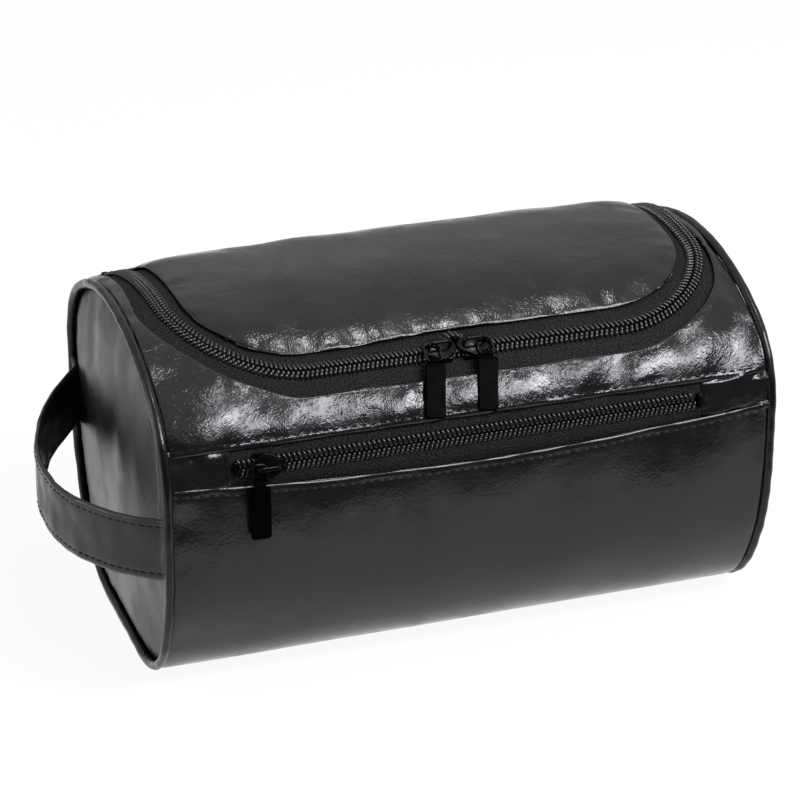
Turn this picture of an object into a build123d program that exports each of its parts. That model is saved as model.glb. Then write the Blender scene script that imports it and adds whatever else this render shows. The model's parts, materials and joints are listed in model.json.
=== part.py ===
from build123d import *
from math import asin, atan2, cos, degrees, hypot, radians, sin, tan
import os

os.makedirs("parts", exist_ok=True)

# Toiletry bag, millimetres. +X runs along the bag to the right, with the handle on the -X end,
# -Y is the front with the pocket, +Z is up, and the origin is the middle of the flat bottom.

# Body outline, looked at along X
body_length = 236.0
body_depth = 150.0
body_height = 138.0
base_flat = 50.0
side_low = 66.0
crown_rise = 48.0
crown_radius = 112.0
flare_radius = 90.0

# Cloth, leather and foam, from the outside in
leather = 1.2
foam = 3.0
lining = 0.6
tape = 0.5
end_foam = 2.6
pocket_depth = 4.7
pocket_cloth = 0.4

# Seams
piping_radius = 2.1
piping_sides = 6
piping_inset = 0.6
seam_gap = 0.1
sewn_gap = 0.3
seam_allowance = 5.0
pocket_allowance = 3.5
end_panel_inset = 1.6
end_panel_proud = 0.3

# Main zip, seen from above: a straight front run, two corners and two arms to the back
zip_setback = 20.5
zip_end_margin = 11.0
zip_corner = 46.0
zip_spread = 2.5
lid_margin = 8.9
yoke_margin = 9.0
hinge_setback = 20.5

# Zip chain, the same on both zips
pitch = 2.2
slit = 0.9
chain_back = 1.15
chain_half = 2.9
chain_rise = 1.2
chain_facets = 12
stop_length = 1.5

# Front pocket and its zip, the heights above the straight side
pocket_zip_rise = 7.5
pocket_window_rise = 2.3
pocket_window_height = 11.9
pocket_left_margin = 22.5
pocket_right_margin = 27.0
pocket_side_margin = 12.0
pocket_bottom = 14.0
pocket_headroom = 1.2

# Sliders
slider_length = 13.0
slider_width = 9.6
slider_tail = 6.8
slider_shoulder = 2.4
slider_tail_chamfer = 1.2
plate = 1.1
flange = 0.6
run_gap = 0.3
under_gap = 0.5
neck = 0.5
neck_length = 2.4
bail_length = 9.2
bail_width = 1.4
bail_bar = 1.0
bail_window = 3.0
slider_meet = -2.35
slider_nose_gap = 0.7
pocket_slider_run = 12.9

# Pull links and tabs
wire = 0.55
wire_sides = 6
link_height = 1.1
link_half = 2.9
link_drop = 7.5
link_shift = 3.5
link_play = 0.25
link_sag = 4.0
link_arch = 0.75
link_corner = 0.95
tab_width = 7.8
tab_length = 22.0
tab_thick = 1.4
knuckle = 1.15
pin_gap = 0.1
tab_rest_gap = 0.4

# Handle strap
strap_width = 25.0
strap_thick = 2.4
strap_z = 57.0
strap_bow = 30.0
strap_root_radius = 14.0
strap_front_seat = 11.4
strap_rear_seat = 5.4

# Worked out from the sizes above
half_depth = body_depth / 2
side_high = body_height - crown_rise
haunch_radius = ((half_depth**2 + crown_rise**2 - 2 * crown_radius * crown_rise)
                 / (2 * (half_depth - crown_radius)))
crown_angle = degrees(atan2(half_depth - haunch_radius, crown_radius - crown_rise))
foot_run = half_depth - base_flat / 2
foot_radius = (side_low**2 + foot_run**2 - 2 * flare_radius * foot_run) / (2 * (side_low - flare_radius))
flare_angle = degrees(atan2(side_low - foot_radius, base_flat / 2 - half_depth + flare_radius))
crown_centre = body_height - crown_radius
haunch_y = half_depth - haunch_radius

zip_front = half_depth - zip_setback
hinge_y = half_depth - hinge_setback

half_body = body_length / 2
zip_straight = half_body - zip_corner - zip_end_margin
pocket_zip_z = side_high + pocket_zip_rise
pocket_window_low = side_high + pocket_window_rise
pocket_window_high = pocket_window_low + pocket_window_height
pocket_window_left = pocket_left_margin - half_body
pocket_window_right = half_body - pocket_right_margin
pocket_half = half_body - pocket_side_margin
pocket_top = pocket_window_high - pocket_headroom

end_face = half_body + end_panel_proud
end_inner = end_face - leather
end_lining_inner = end_inner - end_foam - lining
wrap_half = end_lining_inner - seam_gap
tape_half = end_inner - seam_gap
piping_x = half_body + piping_radius + seam_gap
tape_bed = leather + tape + 0.05
wall = leather + foam
front_recess = tape_bed + pocket_depth
front_wall = front_recess + pocket_cloth + foam
front_split = -30.0
reach = 2 * body_length
half_slit = slit / 2
root_radius = chain_half - chain_back


crown_edge = crown_radius * sin(radians(crown_angle))


def shoulder(distance):
    """Arc of the outline this far from the middle: its centre's distance and height, its radius."""
    if distance < crown_edge:
        return 0, crown_centre, crown_radius
    return haunch_y, side_high, haunch_radius


def turn_at(distance):
    """Lean of the outline's normal from upright, this far from the middle."""
    centre, _, radius = shoulder(distance)
    return degrees(asin((distance - centre) / radius))


def front_plane(x, distance):
    """Plane on the front, this far forward of the middle, X along the bag and Z out of it."""
    centre, height, radius = shoulder(distance)
    turn = turn_at(distance)
    normal = Vector(0, -sin(radians(turn)), cos(radians(turn)))
    return Plane(origin=Vector(x, -centre, height) + normal * radius, x_dir=(1, 0, 0), z_dir=normal)


def bag_face(inset):
    """Closed outline of the bag in the YZ plane, moved in by inset all round."""
    with BuildSketch() as face:
        with BuildLine():
            for side in (1, -1):
                turn = 90 - 90 * side
                CenterArc((side * haunch_y, side_high), haunch_radius - inset, turn,
                          side * (90 - crown_angle))
                Line((side * (half_depth - inset), side_low), (side * (half_depth - inset), side_high))
                CenterArc((side * (half_depth - flare_radius), side_low), flare_radius - inset, turn,
                          -side * flare_angle)
                CenterArc((side * base_flat / 2, foot_radius), foot_radius - inset, -90,
                          side * (90 - flare_angle))
            CenterArc((0, crown_centre), crown_radius - inset, 90 - crown_angle, 2 * crown_angle)
            Line((-base_flat / 2, inset), (base_flat / 2, inset))
        make_face()
    return face.sketch


def bag_layer(outer, inner, half_length):
    """Tube along X between two insets of the outline."""
    with BuildPart() as layer:
        with BuildSketch(Plane.YZ.offset(-half_length)):
            add(bag_face(outer))
            add(bag_face(inner), mode=Mode.SUBTRACT)
        extrude(amount=2 * half_length)
    return layer.part


def bag_disc(inset, start, end):
    """Flat piece of the outline's shape between two places along X."""
    with BuildPart() as disc:
        with BuildSketch(Plane.YZ.offset(start)):
            add(bag_face(inset))
        extrude(amount=end - start)
    return disc.part


def lid_face(offset, back, spread=zip_spread):
    """U shape of the lid from above: the zip's line moved out by offset and closed at y = back."""
    front = -(zip_front + offset)
    radius = zip_corner + offset
    with BuildSketch() as face:
        with BuildLine():
            run = Line((0, front), (zip_straight, front))
            corner = JernArc(run @ 1, (1, 0), radius, 90 - spread)
            end_x = (corner @ 1).X + (back - (corner @ 1).Y) * tan(radians(spread))
            arm = Line(corner @ 1, (end_x, back))
            Line(arm @ 1, (0, back))
            mirror(about=Plane.YZ)
        make_face()
    return face.sketch


def lid_prism(outer, back, inner=None, spread=zip_spread):
    """Upright solid of the lid's shape, or of the band between two offsets of it."""
    with BuildPart() as prism:
        with BuildSketch(Plane.XY.offset(side_high)):
            add(lid_face(outer, back, spread))
            if inner is not None:
                add(lid_face(inner, back + zip_corner, spread), mode=Mode.SUBTRACT)
        extrude(amount=body_height)
    return prism.part


def block(low, high, mode=Mode.ADD):
    """Box between two corners, added to the part being built."""
    centre = tuple((a + b) / 2 for a, b in zip(low, high))
    with Locations(centre):
        Box(*[b - a for a, b in zip(low, high)], mode=mode)


def pocket_space(outer, inner, shrink):
    """Room of the front pocket between two insets, drawn in by shrink at its sides."""
    with BuildPart() as space:
        add(bag_layer(outer, inner, pocket_half - shrink))
        block((-reach, -reach, pocket_bottom + shrink), (reach, 0, pocket_top - shrink), Mode.INTERSECT)
    return space.part


def save(builder, name):
    """Label a finished piece and write it."""
    builder.part.label = name
    export_step(builder.part, f"parts/{name}.step")


# Leather shell
with BuildPart() as main_panel:
    add(bag_layer(0, leather, half_body))
    block((-reach, -reach, pocket_window_low), (reach, hinge_y + sewn_gap / 2, reach), Mode.SUBTRACT)
save(main_panel, "main_panel")

with BuildPart() as front_yoke:
    add(bag_layer(0, leather, half_body))
    block((-reach, -reach, pocket_window_high), (reach, hinge_y - sewn_gap / 2, reach), Mode.INTERSECT)
    add(lid_prism(yoke_margin, body_depth, spread=0), mode=Mode.SUBTRACT)
save(front_yoke, "front_yoke")

for name, start, end in (("pocket_end_tab_left", -half_body, pocket_window_left),
                         ("pocket_end_tab_right", pocket_window_right, half_body)):
    with BuildPart() as end_tab:
        add(bag_layer(0, leather, half_body))
        block((start, -reach, pocket_window_low + sewn_gap / 2), (end, 0, pocket_window_high - sewn_gap / 2),
              Mode.INTERSECT)
    save(end_tab, name)

# Padding and lining of the wrap
with BuildPart() as body_padding:
    add(bag_layer(leather, wall, wrap_half))
    block((-reach, -reach, -reach), (reach, front_split, reach), Mode.SUBTRACT)
    block((-reach, -reach, side_low), (reach, hinge_y + sewn_gap / 2, reach), Mode.SUBTRACT)
save(body_padding, "body_padding")

opening_margin = yoke_margin + seam_allowance + seam_gap

with BuildPart() as front_padding:
    add(bag_layer(leather, front_wall, wrap_half))
    block((-reach, -reach, -reach), (reach, front_split, reach), Mode.INTERSECT)
    add(lid_prism(opening_margin, body_depth), mode=Mode.SUBTRACT)
    add(pocket_space(tape_bed, front_recess + pocket_cloth, 0), mode=Mode.SUBTRACT)
    with BuildPart(mode=Mode.PRIVATE) as tape_room:
        add(bag_layer(leather - seam_gap, tape_bed, body_length))
        block((-reach, -reach, pocket_window_low - pocket_allowance - seam_gap),
              (reach, 0, pocket_window_high + pocket_allowance + seam_gap), Mode.INTERSECT)
    add(tape_room.part, mode=Mode.SUBTRACT)
save(front_padding, "front_padding")

with BuildPart() as body_lining:
    add(bag_layer(wall, wall + lining, wrap_half))
    block((-reach, -reach, -reach), (reach, front_split, reach), Mode.SUBTRACT)
    block((-reach, -reach, side_low), (reach, hinge_y + sewn_gap / 2, reach), Mode.SUBTRACT)
    with BuildPart(mode=Mode.PRIVATE) as front_lining:
        add(bag_layer(front_wall, front_wall + lining, wrap_half))
        block((-reach, -reach, -reach), (reach, front_split + lining, reach), Mode.INTERSECT)
        add(lid_prism(opening_margin, body_depth), mode=Mode.SUBTRACT)
    add(front_lining.part)
    with BuildPart(mode=Mode.PRIVATE) as lining_step:
        add(bag_layer(wall, front_wall + lining, wrap_half))
        block((-reach, front_split, -reach), (reach, front_split + lining, side_low), Mode.INTERSECT)
    add(lining_step.part)
save(body_lining, "body_lining")

with BuildPart() as pocket_lining:
    add(pocket_space(tape_bed, front_recess + pocket_cloth, 0))
    add(pocket_space(tape_bed, front_recess, pocket_cloth), mode=Mode.SUBTRACT)
save(pocket_lining, "pocket_lining")

# Ends of the bag
for name, side in (("left", -1), ("right", 1)):
    with BuildPart() as end_panel:
        add(bag_disc(end_panel_inset, side * end_inner, side * end_face))
    save(end_panel, f"{name}_end_panel")

    with BuildPart() as end_padding:
        add(bag_disc(tape_bed, side * (end_inner - end_foam), side * end_inner))
    save(end_padding, f"{name}_end_padding")

    with BuildPart() as end_lining:
        add(bag_disc(tape_bed, side * end_lining_inner, side * (end_lining_inner + lining)))
    save(end_lining, f"{name}_end_lining")

    with BuildPart() as piping:
        with BuildSketch(Plane.YZ.offset(side * piping_x), mode=Mode.PRIVATE) as seam:
            add(bag_face(piping_inset))
        path = seam.sketch.face().outer_wire()
        with BuildSketch(Plane(origin=path @ 0, x_dir=(1, 0, 0), z_dir=path % 0)):
            RegularPolygon(piping_radius, piping_sides)
        sweep(path=path)
    save(piping, f"{name}_piping")

# Handle strap on the left end, sewn under the piping at its two ends
root_x = -(end_face + strap_thick / 2 + seam_gap)
strap_half = (body_depth - strap_front_seat - strap_rear_seat) / 2
strap_turn = 2 * degrees(atan2(strap_bow, strap_half))
strap_bow_radius = strap_half / sin(radians(strap_turn)) - strap_root_radius

with BuildPart() as handle_strap:
    with BuildSketch(Plane.XY.offset(strap_z - strap_width / 2)):
        with BuildLine():
            front_root = Line((root_x, -half_depth), (root_x, strap_front_seat - half_depth))
            front_bend = JernArc(front_root @ 1, (0, 1), strap_root_radius, strap_turn)
            bow = JernArc(front_bend @ 1, front_bend % 1, strap_bow_radius, -2 * strap_turn)
            rear_bend = JernArc(bow @ 1, bow % 1, strap_root_radius, strap_turn)
            Line(rear_bend @ 1, (root_x, half_depth))
        trace(line_width=strap_thick)
    extrude(amount=strap_width)
    add(bag_disc(piping_inset + piping_radius + sewn_gap, -body_length, -end_face), mode=Mode.INTERSECT)
save(handle_strap, "handle_strap")

# Lid
lid_back = hinge_y - sewn_gap / 2
lid_inset = lid_margin + seam_allowance

with BuildPart() as lid_panel:
    add(bag_layer(0, leather, half_body))
    add(lid_prism(-lid_margin, lid_back), mode=Mode.INTERSECT)
save(lid_panel, "lid_panel")

with BuildPart() as lid_padding:
    add(bag_layer(leather, wall, half_body))
    add(lid_prism(-lid_inset - seam_gap, lid_back), mode=Mode.INTERSECT)
save(lid_padding, "lid_padding")

with BuildPart() as lid_lining:
    add(bag_layer(wall, wall + lining, half_body))
    add(lid_prism(-lid_inset - seam_gap, lid_back), mode=Mode.INTERSECT)
save(lid_lining, "lid_lining")

# Main zip: the tapes, the two combs of teeth and the stops at the ends of the arms
with BuildPart() as main_tape_body:
    add(bag_layer(leather, leather + tape, tape_half))
    add(lid_prism(yoke_margin + seam_allowance, lid_back, inner=half_slit), mode=Mode.INTERSECT)
save(main_tape_body, "main_tape_body")

with BuildPart() as main_tape_lid:
    add(bag_layer(leather, leather + tape, tape_half))
    add(lid_prism(-half_slit, lid_back, inner=-lid_inset), mode=Mode.INTERSECT)
save(main_tape_lid, "main_tape_lid")

chain_end = lid_back - 2 * stop_length


def chain_edge(offset):
    """Right half of a line beside the main chain, seen from above, from its middle to an arm's end."""
    radius = zip_corner + offset
    with BuildLine() as edge:
        run = Line((0, -(zip_front + offset)), (zip_straight, -(zip_front + offset)))
        corner = JernArc(run @ 1, (1, 0), radius, 90 - zip_spread)
        end_x = (corner @ 1).X + (chain_end - (corner @ 1).Y) * tan(radians(zip_spread))
        Line(corner @ 1, (end_x, chain_end))
    return edge.wire()


def reach_along(turn, rise):
    """How far the outline, moved out by rise, reaches along the direction that leans by turn."""
    centre, height, radius = shoulder(half_depth if abs(turn) > crown_angle else 0)
    return centre * abs(sin(radians(turn))) + height * cos(radians(turn)) + radius + rise


def facet_corner(before, after, rise):
    """Corner between the two flat facets that touch the outline, moved out by rise, at these leans."""
    near, far = reach_along(before, rise), reach_along(after, rise)
    span = sin(radians(after - before))
    return ((far * cos(radians(before)) - near * cos(radians(after))) / span,
            (near * sin(radians(after)) - far * sin(radians(before))) / span)


def chain_room():
    """Room of the main chain over the lid's edge, from the tape up, in flat facets from front to back."""
    front, back = -turn_at(zip_front), turn_at(hinge_y)
    facets = [front + count * (back - front) / chain_facets for count in range(chain_facets + 1)]
    turns = [-90, *facets, 90]
    top = [facet_corner(*pair, chain_rise) for pair in zip(turns, turns[1:])]
    under = [facet_corner(*pair, -leather) for pair in zip(turns, turns[1:])]
    with BuildPart() as room:
        with BuildSketch(Plane.YZ.offset(-half_body)):
            with BuildLine():
                Polyline(*top, *reversed(under), close=True)
            make_face()
        extrude(amount=body_length)
    return room.part


half_chain = chain_edge(0)
half_teeth = int(half_chain.length / pitch - 1)


def beside_chain(along, offset):
    """Point beside the main chain, along it from the middle of the front and offset outwards."""
    share = abs(along) / half_chain.length
    spot, heading = half_chain @ share, half_chain % share
    x = spot.X + offset * heading.Y
    return (x if along > 0 else -x, spot.Y - offset * heading.X)


def main_comb(side, shift):
    """Half of the main chain, side -1 on the lid and 1 on the body, moved along by shift of a pitch."""
    teeth = [beside_chain((step / 2 + shift) * pitch, side * (half_slit if step % 2 else root_radius))
             for step in range(-2 * half_teeth, 2 * half_teeth + 1)]
    with BuildPart() as comb:
        with BuildSketch(Plane.XY.offset(side_high)):
            with BuildLine():
                add(chain_edge(side * chain_half))
                mirror(about=Plane.YZ)
                end = chain_edge(side * chain_half) @ 1
                Polyline((-end.X, end.Y), *teeth, (end.X, end.Y))
            make_face()
        extrude(amount=body_height)
        add(chain_room(), mode=Mode.INTERSECT)
    return comb.part


with BuildPart() as main_coil_lid:
    add(main_comb(-1, 0))
save(main_coil_lid, "main_coil_lid")

with BuildPart() as main_coil_body:
    add(main_comb(1, 0.5))
save(main_coil_body, "main_coil_body")

with BuildPart() as main_zip_stops:
    add(bag_layer(-chain_rise + run_gap, leather, half_body))
    add(lid_prism(chain_half, lid_back - seam_gap, inner=half_slit), mode=Mode.INTERSECT)
    block((-reach, lid_back - seam_gap - stop_length, 0), (reach, lid_back, reach), Mode.INTERSECT)
save(main_zip_stops, "main_zip_stops")

# Pocket zip, cut square to the surface where the chain runs
tape_end = pocket_half + seam_allowance
pocket_front = haunch_y + (haunch_radius**2 - pocket_zip_rise**2) ** 0.5
pocket_seat = front_plane(0, pocket_front)
for name, side in (("pocket_tape_upper", 1), ("pocket_tape_lower", -1)):
    with BuildPart() as pocket_tape:
        add(bag_layer(leather, leather + tape, tape_end))
        block((-reach, -reach, pocket_window_low - pocket_allowance),
              (reach, 0, pocket_window_high + pocket_allowance), Mode.INTERSECT)
        with Locations(pocket_seat.location * Location((0, side * (slit + pocket_window_height) / 2, 0))):
            Box(reach, pocket_window_height, 4 * wall, mode=Mode.INTERSECT)
    save(pocket_tape, name)

chain_left = pocket_window_left + 2 * stop_length
chain_right = pocket_window_right - 2 * stop_length
pocket_teeth = int((chain_right - chain_left) / pitch - 1)
for name, side, shift in (("pocket_coil_upper", 1, 0), ("pocket_coil_lower", -1, 0.5)):
    teeth = [(chain_left + (step / 2 + shift) * pitch, side * (half_slit if step % 2 else root_radius))
             for step in range(2 * pocket_teeth + 1)]
    with BuildPart() as pocket_coil:
        with BuildSketch(pocket_seat.offset(-leather)):
            with BuildLine():
                Polyline((chain_left, side * chain_half), *teeth, (chain_right, side * root_radius),
                         (chain_right, side * chain_half), close=True)
            make_face()
        extrude(amount=leather + chain_rise)
    save(pocket_coil, name)

with BuildPart() as pocket_zip_stops:
    add(bag_layer(-chain_rise + run_gap, leather, half_body))
    with BuildPart(mode=Mode.PRIVATE) as stop_rooms:
        left_stop = chain_left - seam_gap - stop_length
        for low, high in ((half_slit, chain_half), (-chain_half, -half_slit)):
            block((left_stop, -reach, pocket_zip_z + low), (left_stop + stop_length, 0, pocket_zip_z + high))
        block((chain_right + seam_gap, -reach, pocket_zip_z - chain_half),
              (chain_right + seam_gap + stop_length, 0, pocket_zip_z + chain_half))
    add(stop_rooms.part, mode=Mode.INTERSECT)
save(pocket_zip_stops, "pocket_zip_stops")


# Sliders, links and pull tabs
def tilted(plane, angle):
    """The plane turned about its own X, so that its -Y leans down into the bag by angle."""
    return plane.rotated((angle, 0, 0))


def slider(plane, mouth, lean):
    """Slider on the chain: two plates, side flanges, a bail and a thin neck that leans with the slit."""
    top = chain_rise + run_gap
    bottom = -(leather + tape + under_gap)
    rail = slider_width / 2
    half_length = slider_length / 2
    with BuildPart(plane) as body:
        for level in (top, bottom - plate):
            with BuildSketch(plane.offset(level)):
                with BuildLine():
                    Polyline((mouth * half_length, 0), (mouth * half_length, rail - slider_shoulder),
                             (mouth * (half_length - slider_shoulder), rail), (0, rail),
                             (mouth * (slider_tail_chamfer - half_length), slider_tail / 2),
                             (-mouth * half_length, slider_tail / 2 - slider_tail_chamfer),
                             (-mouth * half_length, 0))
                    mirror(about=Plane.XZ)
                make_face()
            extrude(amount=plate)
        upright = cos(radians(lean))
        foot = Location((mouth * (half_length - neck_length), 0, 0), (lean, 0, 0))
        with Locations(foot * Location((0, 0, (top + bottom) / 2 / upright))):
            Box(neck_length, neck, (top - bottom) / upright)
        with GridLocations(0, 2 * rail - flange, 1, 2):
            with Locations((mouth * slider_length / 5, 0, (top - leather + run_gap) / 2)):
                Box(slider_length / 3, flange, top + leather - run_gap)
        bail_top = top + plate + bail_window + bail_bar
        with BuildSketch(plane.offset(top + plate)):
            Rectangle(bail_length, bail_width)
        extrude(amount=bail_top - top - plate)
        fillet(body.edges().filter_by(Axis(plane.origin, plane.y_dir)).group_by(
            Axis(plane.origin, plane.z_dir))[-1], bail_bar)
        with Locations((0, 0, top + plate + bail_window / 2)):
            Box(bail_length - 2 * bail_bar, bail_width, bail_window, mode=Mode.SUBTRACT)
    return body


def link(plane):
    """Wire loop round a post of the bail, its upper limb on the plane's X axis, hanging along -Y."""
    arch = link_half * link_arch
    with BuildPart() as loop:
        with BuildLine(plane) as bend:
            FilletPolyline((link_half, 0), (link_half, -link_drop), (-link_half, -link_drop), (-link_half, 0),
                           radius=(arch, link_corner, link_corner, arch), close=True)
        with BuildSketch(Plane(origin=bend.wire() @ 0, x_dir=plane.z_dir, z_dir=bend.wire() % 0)):
            RegularPolygon(wire, wire_sides)
        sweep(path=bend.wire())
    return loop


def pull_tab(plane):
    """Pull tab rolled round the wire on the plane's X axis, hanging along -Y."""
    roll = 2 * (link_half - wire - run_gap)
    with BuildPart() as tab:
        with BuildSketch(plane.offset(-tab_thick / 2)):
            with Locations((0, -knuckle)):
                Rectangle(roll, 2 * knuckle)
            with Locations((0, -(tab_length + knuckle) / 2)):
                RectangleRounded(tab_width, tab_length - knuckle, pin_gap + knuckle)
        extrude(amount=tab_thick)
        with BuildSketch(Plane(origin=plane.origin - plane.x_dir * roll / 2, z_dir=plane.x_dir)):
            Circle(knuckle)
        extrude(amount=roll)
        with BuildSketch(Plane(origin=plane.origin - plane.x_dir * tab_width / 2, z_dir=plane.x_dir)):
            Circle(wire + pin_gap)
        extrude(amount=tab_width, mode=Mode.SUBTRACT)
    return tab


def angle_on_haunch(pivot):
    """How far below level a straight tab hung at pivot lies when it rests on the front haunch."""
    to_centre = Vector(0, -haunch_y, side_high) - pivot
    distance = hypot(to_centre.Y, to_centre.Z)
    rest = haunch_radius + tab_thick / 2 + tab_rest_gap
    return 180 + degrees(atan2(to_centre.Z, to_centre.Y)) - degrees(asin(rest / distance))


pin_level = chain_rise + run_gap + plate + link_height
pin_setback = bail_width / 2 + wire + link_play
slider_step = (slider_length + slider_nose_gap) / 2

for name, x, mouth, hook, on_haunch in (
    ("main_left", slider_meet - slider_step, 1, -1, True),
    ("main_right", slider_meet + slider_step, -1, 1, True),
    ("pocket", pocket_window_left + pocket_slider_run, -1, -1, False),
):
    seat = front_plane(x, zip_front if on_haunch else pocket_front)
    lean = -turn_at(zip_front) if on_haunch else 0
    save(slider(seat, mouth, lean), f"{name}_slider")

    post = seat.offset(pin_level)
    pin = tilted(Plane(origin=post.origin + post.x_dir * hook * link_shift + post.y_dir * pin_setback,
                       x_dir=post.x_dir, z_dir=post.z_dir), link_sag)
    save(link(pin), f"{name}_link")

    hang = pin.origin - pin.y_dir * link_drop
    fall = angle_on_haunch(hang) if on_haunch else 90
    tab_y = Vector(0, cos(radians(fall)), sin(radians(fall)))
    tab_plane = Plane(origin=hang, x_dir=(1, 0, 0), z_dir=Vector(1, 0, 0).cross(tab_y))
    save(pull_tab(tab_plane), f"{name}_pull_tab")
    print(f"{name} link pivot {tuple(round(v, 3) for v in pin.origin)}, "
          f"tab pivot {tuple(round(v, 3) for v in hang)}, tab falls {fall:.2f} degrees")

print(f"haunch radius {haunch_radius:.3f}, foot radius {foot_radius:.3f}, crown angle {crown_angle:.3f}")
hinge_centre, hinge_height, hinge_arc = shoulder(hinge_y)
hinge_rise = (hinge_arc**2 - (hinge_y - hinge_centre)**2) ** 0.5
print(f"hinge axis at y {hinge_y:.3f}, z {hinge_height + hinge_rise:.3f}")
print(f"teeth on each side of the main chain {2 * half_teeth}, of the pocket {pocket_teeth}")
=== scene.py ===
import json
import logging
from dataclasses import dataclass, field
from enum import Enum
from functools import cached_property
from math import atan2, cos, pi, radians, sin, sqrt, tan
from typing import Sequence

import bmesh
import bpy
import numpy as np
from mathutils import Matrix, Vector

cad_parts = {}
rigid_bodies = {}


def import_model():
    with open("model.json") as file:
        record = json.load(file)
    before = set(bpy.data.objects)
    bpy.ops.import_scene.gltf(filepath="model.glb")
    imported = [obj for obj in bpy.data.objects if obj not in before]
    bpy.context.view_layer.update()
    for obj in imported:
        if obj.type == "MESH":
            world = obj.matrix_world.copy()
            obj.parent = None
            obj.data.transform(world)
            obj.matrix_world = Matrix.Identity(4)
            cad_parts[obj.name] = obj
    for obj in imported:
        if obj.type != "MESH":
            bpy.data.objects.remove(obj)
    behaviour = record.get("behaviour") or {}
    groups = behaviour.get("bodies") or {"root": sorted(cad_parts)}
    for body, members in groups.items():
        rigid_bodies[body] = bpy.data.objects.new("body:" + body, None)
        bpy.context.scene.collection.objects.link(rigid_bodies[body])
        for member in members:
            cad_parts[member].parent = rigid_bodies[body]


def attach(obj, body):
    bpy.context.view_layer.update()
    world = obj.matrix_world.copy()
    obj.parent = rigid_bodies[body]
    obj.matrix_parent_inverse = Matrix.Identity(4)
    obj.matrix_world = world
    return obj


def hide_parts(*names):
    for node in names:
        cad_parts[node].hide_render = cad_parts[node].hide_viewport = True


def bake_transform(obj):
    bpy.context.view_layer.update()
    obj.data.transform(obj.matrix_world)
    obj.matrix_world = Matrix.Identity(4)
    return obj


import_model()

Array = np.ndarray
MM = 0.001

log = logging.getLogger("toiletry_bag")


# Shapes in numbers, all in millimetres

def unit(vectors: Array) -> Array:
    """Vectors scaled to length one."""
    return vectors / np.linalg.norm(vectors, axis=-1, keepdims=True)


def soft_step(value: Array, low: float, high: float) -> Array:
    """Smooth rise from 0 at low to 1 at high."""
    share = np.clip((value - low) / (high - low), 0, 1)
    return share * share * (3 - 2 * share)


def ripple(u: Array, v: Array, size: float, seed: int, count: int = 9) -> Array:
    """Uneven waves, as cloth has them.

    Args:
        u: First coordinate of each point.
        v: Second coordinate of each point.
        size: Mean length of a wave.
        seed: Which waves.
        count: How many waves are summed.

    Returns:
        Height at each point, mostly between -1 and 1.
    """
    dice = np.random.default_rng(seed)
    total = np.zeros(np.shape(u))
    for heading, length, phase in zip(dice.uniform(0, pi, count), dice.uniform(0.7, 1.6, count) * size,
                                      dice.uniform(0, 2 * pi, count)):
        total = total + np.sin(2 * pi * (u * cos(heading) + v * sin(heading)) / length + phase)
    return total / sqrt(count)


def spread_lines(length: float, step: float, close_start: bool = True, close_end: bool = True) -> Array:
    """Places of a grid's lines from 0 to length, closer together near an edge that is turned in."""
    edge = np.array([0.0, 0.3, 0.7, 1.2, 1.8, 2.3, 2.7, 3.2, 4.2])
    start = edge if close_start else np.array([0.0])
    end = length - edge[::-1] if close_end else np.array([length])
    gap = end[0] - start[-1]
    middle = np.linspace(start[-1], end[0], max(2, round(gap / step)) + 1)[1:-1]
    return np.concatenate([start, middle, end])


def resample(line: Array, shares: Array) -> Array:
    """Points at these shares of a line's length."""
    steps = np.linalg.norm(np.diff(line, axis=0), axis=1)
    reach = np.concatenate([[0.0], np.cumsum(steps)])
    return np.stack([np.interp(shares * reach[-1], reach, line[:, k]) for k in range(line.shape[1])], -1)


def line_length(line: Array) -> float:
    """Length of a line of points."""
    return float(np.linalg.norm(np.diff(line, axis=0), axis=1).sum())


def nearest(points: Array, line: Array) -> tuple[Array, Array]:
    """Distance from each flat point to a line, and how far along the line the nearest place is."""
    dense = resample(line, np.linspace(0, 1, 700))
    along = np.linspace(0, line_length(line), 700)
    distance = np.empty(len(points))
    place = np.empty(len(points))
    for first in range(0, len(points), 2000):
        part = points[first:first + 2000]
        gaps = np.linalg.norm(part[:, None, :] - dense[None], axis=2)
        best = gaps.argmin(axis=1)
        distance[first:first + 2000] = gaps[np.arange(len(part)), best]
        place[first:first + 2000] = along[best]
    return distance, place


def trail(start: Sequence[float], heading: float, steps: Sequence[tuple[float, float]],
          spacing: float = 0.6) -> Array:
    """Flat line of runs and arcs.

    Args:
        start: First point.
        heading: Direction of the start, in degrees from the first axis.
        steps: For each piece its length and how many degrees it turns to the left in all.
        spacing: Distance between points.

    Returns:
        Points of the line, shape (n, 2).
    """
    spots = [np.array(start, float)]
    angle = radians(heading)
    for length, turn in steps:
        count = max(2, round(length / spacing))
        bend = radians(turn) / count
        for _ in range(count):
            angle += bend / 2
            spots.append(spots[-1] + length / count * np.array([cos(angle), sin(angle)]))
            angle += bend / 2
    return np.array(spots)


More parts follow.
